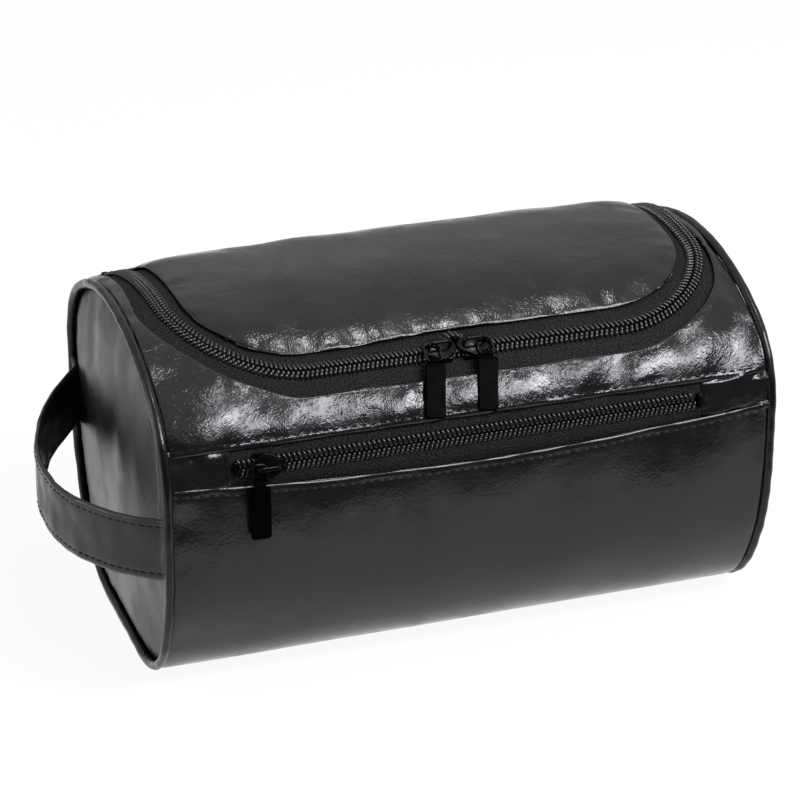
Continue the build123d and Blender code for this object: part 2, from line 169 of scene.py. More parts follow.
@dataclass(frozen=True)
class Outline:
    """Surface of the bag: one cross-section along X.

    A place on it is x along the bag and s round it, measured from the crown and positive to the front.

    Attributes:
        half_depth: Half the bag's depth.
        height: Height of the bag.
        base_half: Half the width that it stands on.
        side_low: Height where the upright side starts.
        side_high: Height where it ends.
        crown_radius: Radius over the top.
        haunch_radius: Radius of the shoulders.
        flare_radius: Radius below the side.
        foot_radius: Radius at the bottom's edges.
        crown_lean: Lean where the crown meets a shoulder.
        flare_lean: Lean where the flare meets the foot.
        half_body: Half the length of the wrap.
        swell: How far the stuffed top stands out behind the crown.
        swell_at: Place round the bag of the most swelling.
        swell_reach: How far round the bag it fades.
        swell_edge: Distance from the wrap's ends over which it starts.
        swell_fall: Share of it that the left end lacks.
        fall_span: Distances to the left between which that share goes.
        drift: How far the soft top has slipped to the right at the zip's corners and arms.
        drift_grows: Distances from the middle between which the slip grows.
        drift_fades: Distances from the middle between which it fades.
        drift_round: Distances round the bag between which it fades.
        arc_points: Points of each arc in the table.
    """

    half_depth: float = 75.0
    height: float = 138.0
    base_half: float = 25.0
    side_low: float = 66.0
    side_high: float = 90.0
    crown_radius: float = 112.0
    haunch_radius: float = 38.149
    flare_radius: float = 90.0
    foot_radius: float = 44.667
    crown_lean: float = 29.933
    flare_lean: float = 118.072
    half_body: float = 118.0
    swell: float = 4.8
    swell_at: float = -46.0
    swell_reach: float = 44.0
    swell_edge: float = 9.0
    swell_fall: float = 0.18
    fall_span: tuple[float, float] = (-10.0, 90.0)
    drift: float = 3.8
    drift_grows: tuple[float, float] = (15.0, 95.0)
    drift_fades: tuple[float, float] = (104.0, 118.0)
    drift_round: tuple[float, float] = (62.0, 82.0)
    arc_points: int = 160

    @cached_property
    def table(self) -> Array:
        """Rows of distance along the surface, distance from the middle, height and lean."""
        crown, haunch = self.crown_radius, self.haunch_radius
        flare, foot = self.flare_radius, self.foot_radius
        arcs = ((0.0, self.height - crown, crown, 0.0, self.crown_lean),
                (self.half_depth - haunch, self.side_high, haunch, self.crown_lean, 90.0),
                (self.half_depth - flare, self.side_low, flare, 90.0, self.flare_lean),
                (self.base_half, foot, foot, self.flare_lean, 180.0))
        rows = []
        for centre, level, radius, low, high in arcs:
            for lean in np.radians(np.linspace(low, high, self.arc_points)):
                rows.append((centre + radius * sin(lean), level + radius * cos(lean), lean))
        rows.append((0.0, 0.0, pi))
        rows = np.array(rows)
        reach = np.concatenate([[0.0], np.cumsum(np.linalg.norm(np.diff(rows[:, :2], axis=0), axis=1))])
        return np.column_stack([reach, rows])

    @property
    def half_length(self) -> float:
        """Length of the surface from the crown to the middle of the bottom."""
        return float(self.table[-1, 0])

    def wrapped(self, s: Array) -> Array:
        """Places round the bag, each within half a turn of the crown."""
        return np.mod(np.asarray(s, float) + self.half_length, 2 * self.half_length) - self.half_length

    def lean(self, s: Array) -> Array:
        """Lean of the outward normal from upright, in radians, towards the front positive."""
        s = self.wrapped(s)
        return np.sign(s) * np.interp(np.abs(s), self.table[:, 0], self.table[:, 3])

    def place(self, x: Array, s: Array, rise: Array | float = 0.0) -> Array:
        """Points at x along the bag and s round it, this far outside the surface."""
        s = self.wrapped(s)
        side = np.where(s < 0, 1.0, -1.0)
        reach, away, level, lean = self.table.T
        lean = np.interp(np.abs(s), reach, lean)
        far = np.abs(x)
        slip = soft_step(far, *self.drift_grows) * (1 - soft_step(far, *self.drift_fades))
        x = x + self.drift * slip * (1 - soft_step(np.abs(s), *self.drift_round))
        inside = 1 - np.exp(-np.clip(self.half_body - far, 0, None) / self.swell_edge)
        inside = inside * (1 - self.swell_fall * soft_step(-x, *self.fall_span))
        rise = rise + self.swell * inside * np.exp(-((s - self.swell_at) / self.swell_reach) ** 2)
        y = side * (np.interp(np.abs(s), reach, away) + rise * np.sin(lean))
        z = np.interp(np.abs(s), reach, level) + rise * np.cos(lean)
        return np.stack([np.broadcast_to(x, y.shape), y, z], -1)

    def at_y(self, y: Array) -> Array:
        """Place round the bag of a point on its top, from its Y."""
        top = self.table[self.table[:, 3] <= pi / 2 + 1e-6]
        return -np.sign(y) * np.interp(np.abs(y), top[:, 1], top[:, 0])

    def at_height(self, z: Array) -> Array:
        """Place round the front of the bag of a point at this height."""
        return np.interp(z, self.table[::-1, 2], self.table[::-1, 0])

    def seat(self, x: float, s: float, rise: float = 0.0) -> Array:
        """Matrix of a frame on the surface: X along the bag, Z out of it, Y up and back."""
        lean = float(self.lean(s))
        turn = np.eye(4)
        turn[:3, 1] = (0, cos(lean), sin(lean))
        turn[:3, 2] = (0, -sin(lean), cos(lean))
        turn[:3, 3] = self.place(np.array(x), np.array(s), rise)
        return turn


@dataclass(frozen=True)
class ZipLine:
    """Line of the main zip, seen from above: a straight front run, two corners and two arms to the back.

    Attributes:
        outline: Surface that it lies on.
        front: Distance of the front run before the middle.
        straight: Half the length of the front run.
        corner: Radius of the corners.
        spread: How many degrees the arms spread.
    """

    outline: Outline
    front: float = 54.5
    straight: float = 61.0
    corner: float = 46.0
    spread: float = 2.5

    def half(self, offset: float, back: float) -> Array:
        """Right half of the line, moved outwards by offset, from the front's middle to y = back."""
        turn = 90 - self.spread
        arc = (self.corner + offset) * radians(turn)
        run = trail((0.0, -self.front - offset), 0.0, [(self.straight, 0.0), (arc, turn)])
        end = run[-1]
        arm = np.array([end[0] + (back - end[1]) * tan(radians(self.spread)), back])
        return np.concatenate([run, np.linspace(end, arm, 120)[1:]])

    def whole(self, offset: float, back: float = 54.2) -> Array:
        """The line, moved outwards by offset, as x and s from the left arm's end to the right one's."""
        right = self.half(offset, back)
        both = np.concatenate([right[::-1] * (-1, 1), right[1:]])
        return np.stack([both[:, 0], self.outline.at_y(both[:, 1])], -1)


@dataclass(frozen=True)
class Seam:
    """A sewn line: the cloth dips to it and puckers beside it.

    Attributes:
        line: Points of the line on the flat cloth.
        sink: How deep the cloth dips at the line.
        reach: Distance over which the dip and the puckers fade.
        pucker: Height of the puckers.
        pitch: Mean distance between puckers.
        seed: Which puckers.
    """

    line: Array
    sink: float = 0.6
    reach: float = 8.0
    pucker: float = 0.35
    pitch: float = 7.0
    seed: int = 1

    def rise(self, flat: Array) -> Array:
        """Height that the seam gives each flat point."""
        distance, along = nearest(flat, self.line)
        fade = np.exp(-distance / self.reach)
        folds = ripple(along, distance * 0.3, self.pitch, self.seed)
        long_folds = ripple(along, distance * 0.25, 2.6 * self.pitch, self.seed + 50)
        soft = 1 - np.exp(-distance / 1.6)
        return -self.sink * fade + self.pucker * soft * (folds * fade + 0.8 * long_folds * np.sqrt(fade))


# Place and width of the bead and of the row of stitches beside a turned edge
BEAD_AT, BEAD_WIDTH = 1.2, 0.8
ROW_AT, ROW_WIDTH = 2.7, 0.65
# Middle of the bag's ends, as y and z
END_CENTRE = np.array([0.0, 70.0])


def rolled(flat: Array, edge: Array, drop: float = 0.9, radius: float = 1.3, groove: float = 0.0) -> Array:
    """Height of cloth turned in along an edge.

    Args:
        flat: Points on the flat cloth.
        edge: Line of the edge.
        drop: How far down the edge ends.
        radius: Radius of the turn.
        groove: Depth of a row of stitches beside the edge, which leaves a bead between the two.

    Returns:
        Height at each point.
    """
    distance, _ = nearest(flat, edge)
    inner = np.clip(1 - distance / radius, 0, 1)
    bead = 0.8 * np.exp(-((distance - BEAD_AT) / BEAD_WIDTH) ** 2)
    row = np.exp(-((distance - ROW_AT) / ROW_WIDTH) ** 2)
    return groove * (bead - row) - drop * (1 - np.sqrt(np.clip(1 - inner ** 2, 0, 1)))


# Meshes

def mesh_object(name: str, points: Array, faces: Sequence[Sequence[int]], flat: Array | None = None,
                smooth: bool = True, crinkle: Array | None = None) -> bpy.types.Object:
    """Object made of points in millimetres.

    Args:
        name: Name of the piece.
        points: Vertices, shape (n, 3).
        faces: Vertex numbers of each face.
        flat: Place of each vertex on the flat cloth, kept as the UV layer "flat" in millimetres.
        smooth: Whether the faces are shaded smooth.
        crinkle: How creased the leather is at each vertex, kept as the attribute "crinkle".

    Returns:
        The linked object.
    """
    mesh = bpy.data.meshes.new(name)
    mesh.from_pydata((np.asarray(points) * MM).tolist(), [], [list(map(int, face)) for face in faces])
    if flat is not None:
        layer = mesh.uv_layers.new(name="flat")
        loops = np.empty(len(mesh.loops), int)
        mesh.loops.foreach_get("vertex_index", loops)
        layer.data.foreach_set("uv", np.asarray(flat, float)[loops].ravel())
    if crinkle is not None:
        layer = mesh.attributes.new("crinkle", "FLOAT", "POINT")
        layer.data.foreach_set("value", np.asarray(crinkle, float).ravel())
    mesh.polygons.foreach_set("use_smooth", [smooth] * len(mesh.polygons))
    mesh.update()
    piece = bpy.data.objects.new(name, mesh)
    bpy.context.scene.collection.objects.link(piece)
    return piece


def grid_faces(across: int, along: int, flip: bool = False) -> list[tuple[int, ...]]:
    """Quads of a grid whose first index runs along +X and whose second runs to the front, facing out."""
    faces = []
    for i in range(across - 1):
        for j in range(along - 1):
            a = i * along + j
            quad = (a, a + 1, a + along + 1, a + along)
            faces.append(quad[::-1] if flip else quad)
    return faces


def ring_faces(rings: int, sides: int, closed: bool = False, caps: bool = True) -> list[tuple[int, ...]]:
    """Quads between rings of points, with a face over each end of an open stack."""
    faces = []
    for i in range(rings if closed else rings - 1):
        for j in range(sides):
            a, b = i * sides, (i + 1) % rings * sides
            k = (j + 1) % sides
            faces.append((a + j, a + k, b + k, b + j))
    if caps and not closed:
        faces.append(tuple(range(sides))[::-1])
        faces.append(tuple(range((rings - 1) * sides, rings * sides)))
    return faces


def outward(piece: bpy.types.Object) -> bpy.types.Object:
    """Turn the faces of closed shapes outwards."""
    work = bmesh.new()
    work.from_mesh(piece.data)
    bmesh.ops.recalc_face_normals(work, faces=work.faces[:])
    work.to_mesh(piece.data)
    work.free()
    return piece


def face_along(piece: bpy.types.Object, way: int) -> bpy.types.Object:
    """Turn every face of a sheet to the side of X that way names."""
    outward(piece)
    if piece.data.polygons[0].normal.x * way < 0:
        piece.data.flip_normals()
    return piece


def crisp(piece: bpy.types.Object, degrees: float = 32.0) -> bpy.types.Object:
    """Face a closed shape outwards and keep its edges sharp."""
    outward(piece)
    piece.data.set_sharp_from_angle(angle=radians(degrees))
    return piece


def bake(piece: bpy.types.Object) -> bpy.types.Object:
    """Replace the piece's mesh by what its modifiers make of it."""
    graph = bpy.context.evaluated_depsgraph_get()
    made = bpy.data.meshes.new_from_object(piece.evaluated_get(graph))
    old = piece.data
    piece.modifiers.clear()
    piece.data = made
    bpy.data.meshes.remove(old)
    made.name = piece.name
    return piece


def thicken(piece: bpy.types.Object, thickness: float, subdivide: int = 0) -> bpy.types.Object:
    """Give a sheet its thickness, inwards, after as many subdivisions."""
    if subdivide:
        smooth = piece.modifiers.new("Smooth", "SUBSURF")
        smooth.levels = smooth.render_levels = subdivide
        smooth.boundary_smooth = "PRESERVE_CORNERS"
    solid = piece.modifiers.new("Thickness", "SOLIDIFY")
    solid.thickness = thickness * MM
    solid.offset = -1
    return bake(piece)


def sweep(path: Array, section: Array, normal: Sequence[float], closed: bool = False) -> tuple[Array, list]:
    """Tube along a flat path.

    Args:
        path: Points of the path, shape (n, 3).
        section: Outline of the tube: along the path's normal, then beside the path, shape (m, 2).
        normal: Direction square to the path's plane.
        closed: Whether the path runs into itself.

    Returns:
        Points and faces of the tube.
    """
    if closed:
        tangent = np.roll(path, -1, axis=0) - np.roll(path, 1, axis=0)
    else:
        tangent = np.gradient(path, axis=0)
    up = np.array(normal, float)
    beside = unit(np.cross(unit(tangent), up))
    rings = path[:, None] + section[None, :, :1] * up + section[None, :, 1:] * beside[:, None]
    return rings.reshape(-1, 3), ring_faces(len(path), len(section), closed)


def circle(radius: float, sides: int) -> Array:
    """Points of a circle."""
    turn = np.linspace(0, 2 * pi, sides, endpoint=False)
    return radius * np.stack([np.cos(turn), np.sin(turn)], -1)


def rounded_box(width: float, depth: float, radius: float, sides: int = 5) -> Array:
    """Points of a rectangle with rounded corners, anticlockwise."""
    spots = []
    for k, (sx, sy) in enumerate(((1, 1), (-1, 1), (-1, -1), (1, -1))):
        for turn in np.radians(np.linspace(90 * k, 90 * k + 90, sides)):
            spots.append((sx * (width / 2 - radius) + radius * cos(turn),
                          sy * (depth / 2 - radius) + radius * sin(turn)))
    return np.array(spots)


def moved(points: Array, matrix: Array) -> Array:
    """Points carried by a 4 by 4 matrix."""
    return points @ matrix[:3, :3].T + matrix[:3, 3]


def joined(parts: Sequence[tuple[Array, list]]) -> tuple[Array, list]:
    """Points and faces of several shapes as one."""
    points, faces, count = [], [], 0
    for spots, shape_faces in parts:
        points.append(spots)
        faces += [tuple(v + count for v in face) for face in shape_faces]
        count += len(spots)
    return np.concatenate(points), faces


# Finishes

class Coordinates(Enum):
    """Where a pattern takes its places from."""

    FLAT = "flat"
    OBJECT = "object"


class Recipe:
    """Material under construction: its nodes and its Principled shader."""

    def __init__(self, name: str) -> None:
        """Start an empty material."""
        self.material = bpy.data.materials.new(name)
        self.material.use_nodes = True
        self.tree = self.material.node_tree
        self.shader = self.tree.nodes["Principled BSDF"]

    def node(self, kind: str, values: dict | None = None, **settings: object) -> bpy.types.Node:
        """Add a node.

        Args:
            kind: Node type.
            values: Value or source socket of each named input.
            settings: Properties of the node.

        Returns:
            The node.
        """
        made = self.tree.nodes.new(kind)
        for key, value in settings.items():
            setattr(made, key, value)
        for key, value in (values or {}).items():
            self.feed(made, key, value)
        return made

    def feed(self, node: bpy.types.Node, key: str | int, value: object) -> None:
        """Set an input of a node, or link it to a source socket."""
        if isinstance(value, bpy.types.NodeSocket):
            self.tree.links.new(value, node.inputs[key])
        else:
            node.inputs[key].default_value = value

    def set(self, **values: object) -> None:
        """Set inputs of the Principled shader, with underscores for spaces."""
        for key, value in values.items():
            self.feed(self.shader, key.replace("_", " "), value)

    def places(self, source: Coordinates) -> bpy.types.NodeSocket:
        """Socket of the places in millimetres."""
        if source is Coordinates.FLAT:
            return self.node("ShaderNodeUVMap", uv_map="flat").outputs["UV"]
        spots = self.node("ShaderNodeTexCoord").outputs["Object"]
        return self.node("ShaderNodeVectorMath", {0: spots, "Scale": 1 / MM}, operation="SCALE").outputs[0]

    def noise(self, places: bpy.types.NodeSocket, size: float, detail: float = 2.0, kind: str = "FBM",
              distortion: float = 0.0) -> bpy.types.NodeSocket:
        """Noise whose features are about size millimetres."""
        return self.node("ShaderNodeTexNoise", {"Vector": places, "Scale": 1 / size, "Detail": detail,
                                                "Distortion": distortion}, noise_type=kind).outputs[0]

    def between(self, value: bpy.types.NodeSocket, low: float, high: float, start: float = 0.3,
                end: float = 0.7) -> bpy.types.NodeSocket:
        """Value carried from start..end to low..high."""
        return self.node("ShaderNodeMapRange", {"Value": value, "From Min": start, "From Max": end,
                                                "To Min": low, "To Max": high}).outputs[0]

    def times(self, value: bpy.types.NodeSocket,
              other: bpy.types.NodeSocket | float) -> bpy.types.NodeSocket:
        """Product of a socket and another or a number."""
        return self.node("ShaderNodeMath", {0: value, 1: other}, operation="MULTIPLY").outputs[0]

    def bump(self, height: bpy.types.NodeSocket, depth: float, below: bpy.types.NodeSocket | None = None,
             share: bpy.types.NodeSocket | None = None) -> bpy.types.NodeSocket:
        """Normal with relief of this depth in millimetres times a share, over another normal."""
        values = {"Height": height, "Distance": depth * MM, "Strength": 1.0}
        if share is not None:
            values["Distance"] = self.times(share, depth * MM)
        if below is not None:
            values["Normal"] = below
        return self.node("ShaderNodeBump", values).outputs[0]


def shown_share(tree: bpy.types.NodeTree) -> bpy.types.NodeSocket:
    """Share of a background that shows white: to the camera, in mirrored views and through clear things."""
    ray = tree.nodes.new("ShaderNodeLightPath")
    share = ray.outputs["Is Camera Ray"]
    for kind in ("Is Glossy Ray", "Is Transmission Ray"):
        either = tree.nodes.new("ShaderNodeMath")
        either.operation = "MAXIMUM"
        tree.links.new(share, either.inputs[0])
        tree.links.new(ray.outputs[kind], either.inputs[1])
        share = either.outputs[0]
    return share


@dataclass(frozen=True)
class Leather:
    """Coated synthetic leather with pores, creases and shiny and dull patches.

    Attributes:
        name: Name of the material.
        colour: Base colour.
        shine: Roughness of the shiny and of the dull patches.
        crease_size: Mean distance between creases.
        crease_depth: Depth of the relief.
        pore_size: Distance between pores.
        pore_depth: Depth of the pores.
        specular: Level of the mirrored light.
        coordinates: What the pattern follows.
    """

    name: str
    colour: tuple[float, float, float] = (0.0055, 0.0055, 0.0062)
    shine: tuple[float, float] = (0.15, 0.27)
    crease_size: float = 9.0
    crease_depth: float = 0.35
    pore_size: float = 1.1
    pore_depth: float = 0.04
    specular: float = 0.4
    coordinates: Coordinates = Coordinates.FLAT

    def material(self) -> bpy.types.Material:
        """Build the material."""
        mix = Recipe(self.name)
        places = mix.places(self.coordinates)
        size, depth = self.crease_size, self.crease_depth
        share = None
        if self.coordinates is Coordinates.FLAT:
            share = mix.node("ShaderNodeAttribute", attribute_name="crinkle").outputs["Fac"]
        waves = mix.noise(places, 2.6 * size, 2.0)
        creases = mix.noise(places, size, 3.0, "RIDGED_MULTIFRACTAL", 0.8)
        patches = mix.between(mix.noise(places, 1.7 * size, 2.0), 0.25, 1.0, 0.42, 0.6)
        bands = {"Vector": places, "Scale": 3.1 / size, "Distortion": 34.0, "Detail": 3.0,
                 "Detail Scale": 0.3}
        lines = mix.node("ShaderNodeTexWave", bands, bands_direction="DIAGONAL").outputs["Fac"]
        broken = mix.between(mix.noise(places, 0.28 * size, 2.0), 0.0, 1.0, 0.42, 0.62)
        swirls = mix.times(mix.times(lines, broken), patches)
        grain = mix.noise(places, 0.16 * size, 2.0, "FBM", 1.2)
        pores = mix.node("ShaderNodeTexVoronoi", {"Vector": places, "Scale": 1 / self.pore_size},
                         feature="SMOOTH_F1").outputs["Distance"]
        normal = None
        for height, share_of_depth in ((waves, 2.6), (creases, -0.6), (swirls, 0.2), (grain, 0.3)):
            normal = mix.bump(height, share_of_depth * depth, normal, share)
        normal = mix.bump(pores, self.pore_depth, normal)
        mix.set(Base_Color=(*self.colour, 1.0), Roughness=mix.between(patches, *self.shine, 0.25, 1.0),
                Normal=normal, Specular_IOR_Level=self.specular)
        return mix.material


@dataclass(frozen=True)
class Woven:
    """Woven cloth, for tapes, lining and thread.

    Attributes:
        name: Name of the material.
        colour: Mean colour of the yarn.
        thread: Distance between yarns.
        depth: Depth of the weave.
        roughness: Roughness of the yarn.
        specular: Level of the mirrored light.
        coordinates: What the weave follows.
    """

    name: str
    colour: tuple[float, float, float]
    thread: float = 0.55
    depth: float = 0.2
    roughness: float = 0.8
    specular: float = 0.12
    coordinates: Coordinates = Coordinates.FLAT

    def material(self) -> bpy.types.Material:
        """Build the material."""
        mix = Recipe(self.name)
        places = mix.places(self.coordinates)
        turn = (0.0, 0.0, radians(45))
        turned = mix.node("ShaderNodeMapping", {"Vector": places, "Rotation": turn}).outputs[0]
        yarns = {"Vector": turned, "Scale": 0.31 / self.thread, "Distortion": 0.4}
        warp, weft = (mix.node("ShaderNodeTexWave", yarns, bands_direction=way).outputs["Fac"]
                      for way in "XY")
        weave = mix.times(warp, weft)
        fuzz = mix.noise(places, 9.0, 3.0)
        normal = mix.bump(fuzz, 0.5)
        normal = mix.bump(weave, self.depth, normal)
        # painted shade and painted highlight: the yarn colour is darkened in the weave's hollows and
        # lightened on its raised crossings, following the same height as the bump
        shade = mix.between(weave, 0.4, 1.9, 0.0, 1.0)
        specks = mix.between(mix.noise(places, 0.9 * self.thread, 1.0), 0.2, 2.2, 0.35, 0.7)
        colour = mix.node("ShaderNodeVectorMath", {0: self.colour, "Scale": mix.times(shade, specks)},
                          operation="SCALE").outputs[0]
        mix.set(Base_Color=colour, Roughness=self.roughness, Normal=normal, Specular_IOR_Level=self.specular)
        return mix.material


@dataclass(frozen=True)
class Hard:
    """Enamelled metal or nylon, with faint unevenness.

    Attributes:
        name: Name of the material.
        colour: Base colour.
        roughness: Mean roughness.
        specular: Level of the mirrored light.
        grit_size: Distance between grains of unevenness.
        grit_depth: Their height.
    """

    name: str
    colour: tuple[float, float, float]
    roughness: float
    specular: float = 0.5
    grit_size: float = 1.2
    grit_depth: float = 0.02

    def material(self) -> bpy.types.Material:
        """Build the material."""
        mix = Recipe(self.name)
        places = mix.places(Coordinates.OBJECT)
        grit = mix.noise(places, self.grit_size, 2.0)
        wear = mix.between(mix.noise(places, 6.0, 2.0), 0.85 * self.roughness, 1.2 * self.roughness)
        mix.set(Base_Color=(*self.colour, 1.0), Normal=mix.bump(grit, self.grit_depth), Roughness=wear,
                Specular_IOR_Level=self.specular)
        return mix.material


@dataclass
class Palette:
    """Every material of the bag."""

    gloss: bpy.types.Material = field(default_factory=Leather("leather_gloss").material)
    satin: bpy.types.Material = field(default_factory=Leather(
        "leather_satin", (0.017, 0.0158, 0.0154), (0.30, 0.42), crease_size=16.0, crease_depth=0.22,
        specular=0.3, coordinates=Coordinates.OBJECT).material)
    strap: bpy.types.Material = field(default_factory=Leather(
        "leather_strap", (0.012, 0.0118, 0.012), (0.28, 0.42), crease_size=6.0, crease_depth=0.10,
        specular=0.35, coordinates=Coordinates.OBJECT).material)
    piping: bpy.types.Material = field(default_factory=Leather(
        "leather_piping", (0.0035, 0.0035, 0.004), (0.2, 0.32), crease_size=5.0, crease_depth=0.10,
        specular=0.3, coordinates=Coordinates.OBJECT).material)
    tape: bpy.types.Material = field(default_factory=Woven(
        "zip_tape", (0.0125, 0.0122, 0.0122), thread=0.8).material)
    lining: bpy.types.Material = field(default_factory=Woven(
        "lining_cloth", (0.05, 0.05, 0.055), thread=0.35, depth=0.05, roughness=0.6).material)
    thread: bpy.types.Material = field(default_factory=Woven(
        "thread", (0.005, 0.005, 0.0055), thread=0.3, depth=0.06, roughness=0.55,
        coordinates=Coordinates.OBJECT).material)
    coil: bpy.types.Material = field(default_factory=Hard(
        "zip_nylon", (0.006, 0.006, 0.006), 0.24, specular=0.6).material)
    enamel: bpy.types.Material = field(default_factory=Hard(
        "black_enamel", (0.001, 0.001, 0.0012), 0.24, specular=0.14, grit_depth=0.0).material)
    matt: bpy.types.Material = field(default_factory=Hard(
        "black_matt", (0.0006, 0.0006, 0.0007), 0.45, specular=0.012).material)


def dress(piece: bpy.types.Object, material: bpy.types.Material, slot: str, replaced: Sequence[str] = (),
          body: str | None = None) -> bpy.types.Object:
    """Finish a piece.

    Args:
        piece: The piece.
        material: Its material.
        slot: Material slot of the record; not used.
        replaced: CAD nodes that it stands for.
        body: CAD body that it moves with, or None to leave it unattached.

    Returns:
        The piece.
    """
    piece.data.materials.clear()
    piece.data.materials.append(material)
    if replaced:
        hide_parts(*replaced)
    if body is not None:
        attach(piece, body)
    log.info("%s: %d faces", piece.name, len(piece.data.polygons))
    return piece


# Things that repeat

@dataclass(frozen=True)
class Repeat:
    """Copies of one small shape along a line, made by Geometry Nodes.

    Attributes:
        shape_points: Points of the shape.
        shape_faces: Faces of the shape.
    """

    shape_points: Array
    shape_faces: list

    def group(self) -> bpy.types.NodeTree:
        """Node group that sets one copy on each vertex, X along "along" and Z along "out"."""
        group = bpy.data.node_groups.new("Copies on points", "GeometryNodeTree")
        for name, way, kind in (("Geometry", "INPUT", "Geometry"), ("Shape", "INPUT", "Object"),
                                ("Finish", "INPUT", "Material"), ("Unevenness", "INPUT", "Float"),
                                ("Geometry", "OUTPUT", "Geometry")):
            group.interface.new_socket(name, in_out=way, socket_type=f"NodeSocket{kind}")
        nodes, links = group.nodes, group.links
        given = nodes.new("NodeGroupInput")
        result = nodes.new("NodeGroupOutput")
        points = nodes.new("GeometryNodeMeshToPoints")
        shape = nodes.new("GeometryNodeObjectInfo")
        copies = nodes.new("GeometryNodeInstanceOnPoints")
        stand = nodes.new("FunctionNodeAlignRotationToVector")
        stand.axis = "Z"
        turn = nodes.new("FunctionNodeAlignRotationToVector")
        turn.axis = "X"
        turn.pivot_axis = "Z"
        for target, name in ((stand, "out"), (turn, "along")):
            read = nodes.new("GeometryNodeInputNamedAttribute")
            read.data_type = "FLOAT_VECTOR"
            read.inputs["Name"].default_value = name
            links.new(read.outputs["Attribute"], target.inputs["Vector"])
        low = nodes.new("ShaderNodeMath")
        low.operation = "SUBTRACT"
        low.inputs[0].default_value = 1.0
        size = nodes.new("FunctionNodeRandomValue")
        size.inputs["Seed"].default_value = 7
        size.inputs[3].default_value = 1.0
        real = nodes.new("GeometryNodeRealizeInstances")
        paint = nodes.new("GeometryNodeSetMaterial")
        for source, output, target, socket in (
                (given, "Geometry", points, "Mesh"), (given, "Shape", shape, "Object"),
                (given, "Unevenness", low, 1), (low, 0, size, 2), (points, 0, copies, "Points"),
                (shape, "Geometry", copies, "Instance"), (stand, 0, turn, "Rotation"),
                (turn, 0, copies, "Rotation"), (size, 1, copies, "Scale"), (copies, 0, real, 0),
                (real, 0, paint, "Geometry"), (given, "Finish", paint, "Material"),
                (paint, 0, result, 0)):
            links.new(source.outputs[output], target.inputs[socket])
        return group

    def along(self, name: str, spots: Array, heading: Array, out: Array, material: bpy.types.Material,
              unevenness: float = 0.04) -> bpy.types.Object:
        """Set the copies.

        Args:
            name: Name of the piece.
            spots: Where each copy stands.
            heading: Direction of each copy's X.
            out: Direction of each copy's Z.
            material: Finish of the copies.
            unevenness: How much smaller the smallest copy is.

        Returns:
            One mesh of all copies.
        """
        shape = outward(mesh_object(f"{name}_shape", self.shape_points, self.shape_faces))
        piece = mesh_object(name, spots, [])
        for key, values in (("along", heading), ("out", out)):
            layer = piece.data.attributes.new(key, "FLOAT_VECTOR", "POINT")
            layer.data.foreach_set("vector", np.asarray(values, float).ravel())
        group = self.group()
        copies = piece.modifiers.new("Copies", "NODES")
        copies.node_group = group
        given = {item.name: item.identifier for item in group.interface.items_tree if item.in_out == "INPUT"}
        copies[given["Shape"]] = shape
        copies[given["Finish"]] = material
        copies[given["Unevenness"]] = unevenness
        bake(piece)
        for key in ("along", "out"):
            spare = piece.data.attributes.get(key)
            if spare is not None:
                piece.data.attributes.remove(spare)
        bpy.data.objects.remove(shape)
        bpy.data.node_groups.remove(group)
        return piece


def capsule(length: float, width: float, height: float, sides: int = 8, rings: int = 5) -> Repeat:
    """Rounded stroke along X that lies with its middle on the surface."""
    last = 0.42 * pi
    section = circle(0.5, sides) * (width, height)
    stack = []
    for turn in np.linspace(-last, last, rings):
        along = np.full(sides, sin(turn) / sin(last) * length / 2)
        stack.append(np.column_stack([along, section * cos(turn) ** 0.6]))
    return Repeat(np.concatenate(stack), ring_faces(rings, sides))


def laid_on(surfaces: Sequence[bpy.types.Object], spots: Array, out: Array, sink: float,
            reach: float = 6.0) -> tuple[Array, Array]:
    """Drop points onto the pieces below them.

    Args:
        surfaces: Pieces at rest that lie below the points.
        spots: Points near the surface.
        out: Direction out of the surface at each point.
        sink: How deep under the surface each ends.
        reach: How far above and below the points the surface may lie.

    Returns:
        The points on the surface and its normals there.
    """
    bpy.context.view_layer.update()
    landed, normals = spots.copy(), out.copy()
    for k, (spot, way) in enumerate(zip(spots, out)):
        for surface in surfaces:
            start = Vector((spot + reach * way) * MM)
            hit, place, normal, _ = surface.ray_cast(start, Vector(-way), distance=2 * reach * MM)
            if hit:
                landed[k] = np.array(place) / MM - sink * way
                normals[k] = unit(np.array(normal) + way)
                break
    return landed, normals


@dataclass(frozen=True)
class Cord:
    """A line on the flat cloth with things set along it.

    Attributes:
        outline: Surface that the cloth lies on.
        flat: Points of the line, as x and s.
        rise: How far the things stand outside the surface.
    """

    outline: Outline
    flat: Array
    rise: float = 0.0

    def spots(self, pitch: float, start: float = 0.0) -> tuple[Array, Array, Array, Array]:
        """Places every pitch along the line.

        Args:
            pitch: From one place to the next.
            start: Distance of the first from the line's start.

        Returns:
            Points, headings, outward directions and places on the cloth.
        """
        length = line_length(self.flat)
        marks = np.arange(start, length - 1e-6, pitch)
        flat = resample(self.flat, marks / length)
        ahead = resample(self.flat, np.clip((marks + 0.3) / length, 0, 1))
        behind = resample(self.flat, np.clip((marks - 0.3) / length, 0, 1))
        here = self.outline.place(flat[:, 0], flat[:, 1], self.rise)
        heading = unit(self.outline.place(ahead[:, 0], ahead[:, 1], self.rise)
                       - self.outline.place(behind[:, 0], behind[:, 1], self.rise))
        lean = self.outline.lean(flat[:, 1])
        out = np.stack([np.zeros(len(lean)), -np.sin(lean), np.cos(lean)], -1)
        return here, heading, out, flat


# Sub-assemblies

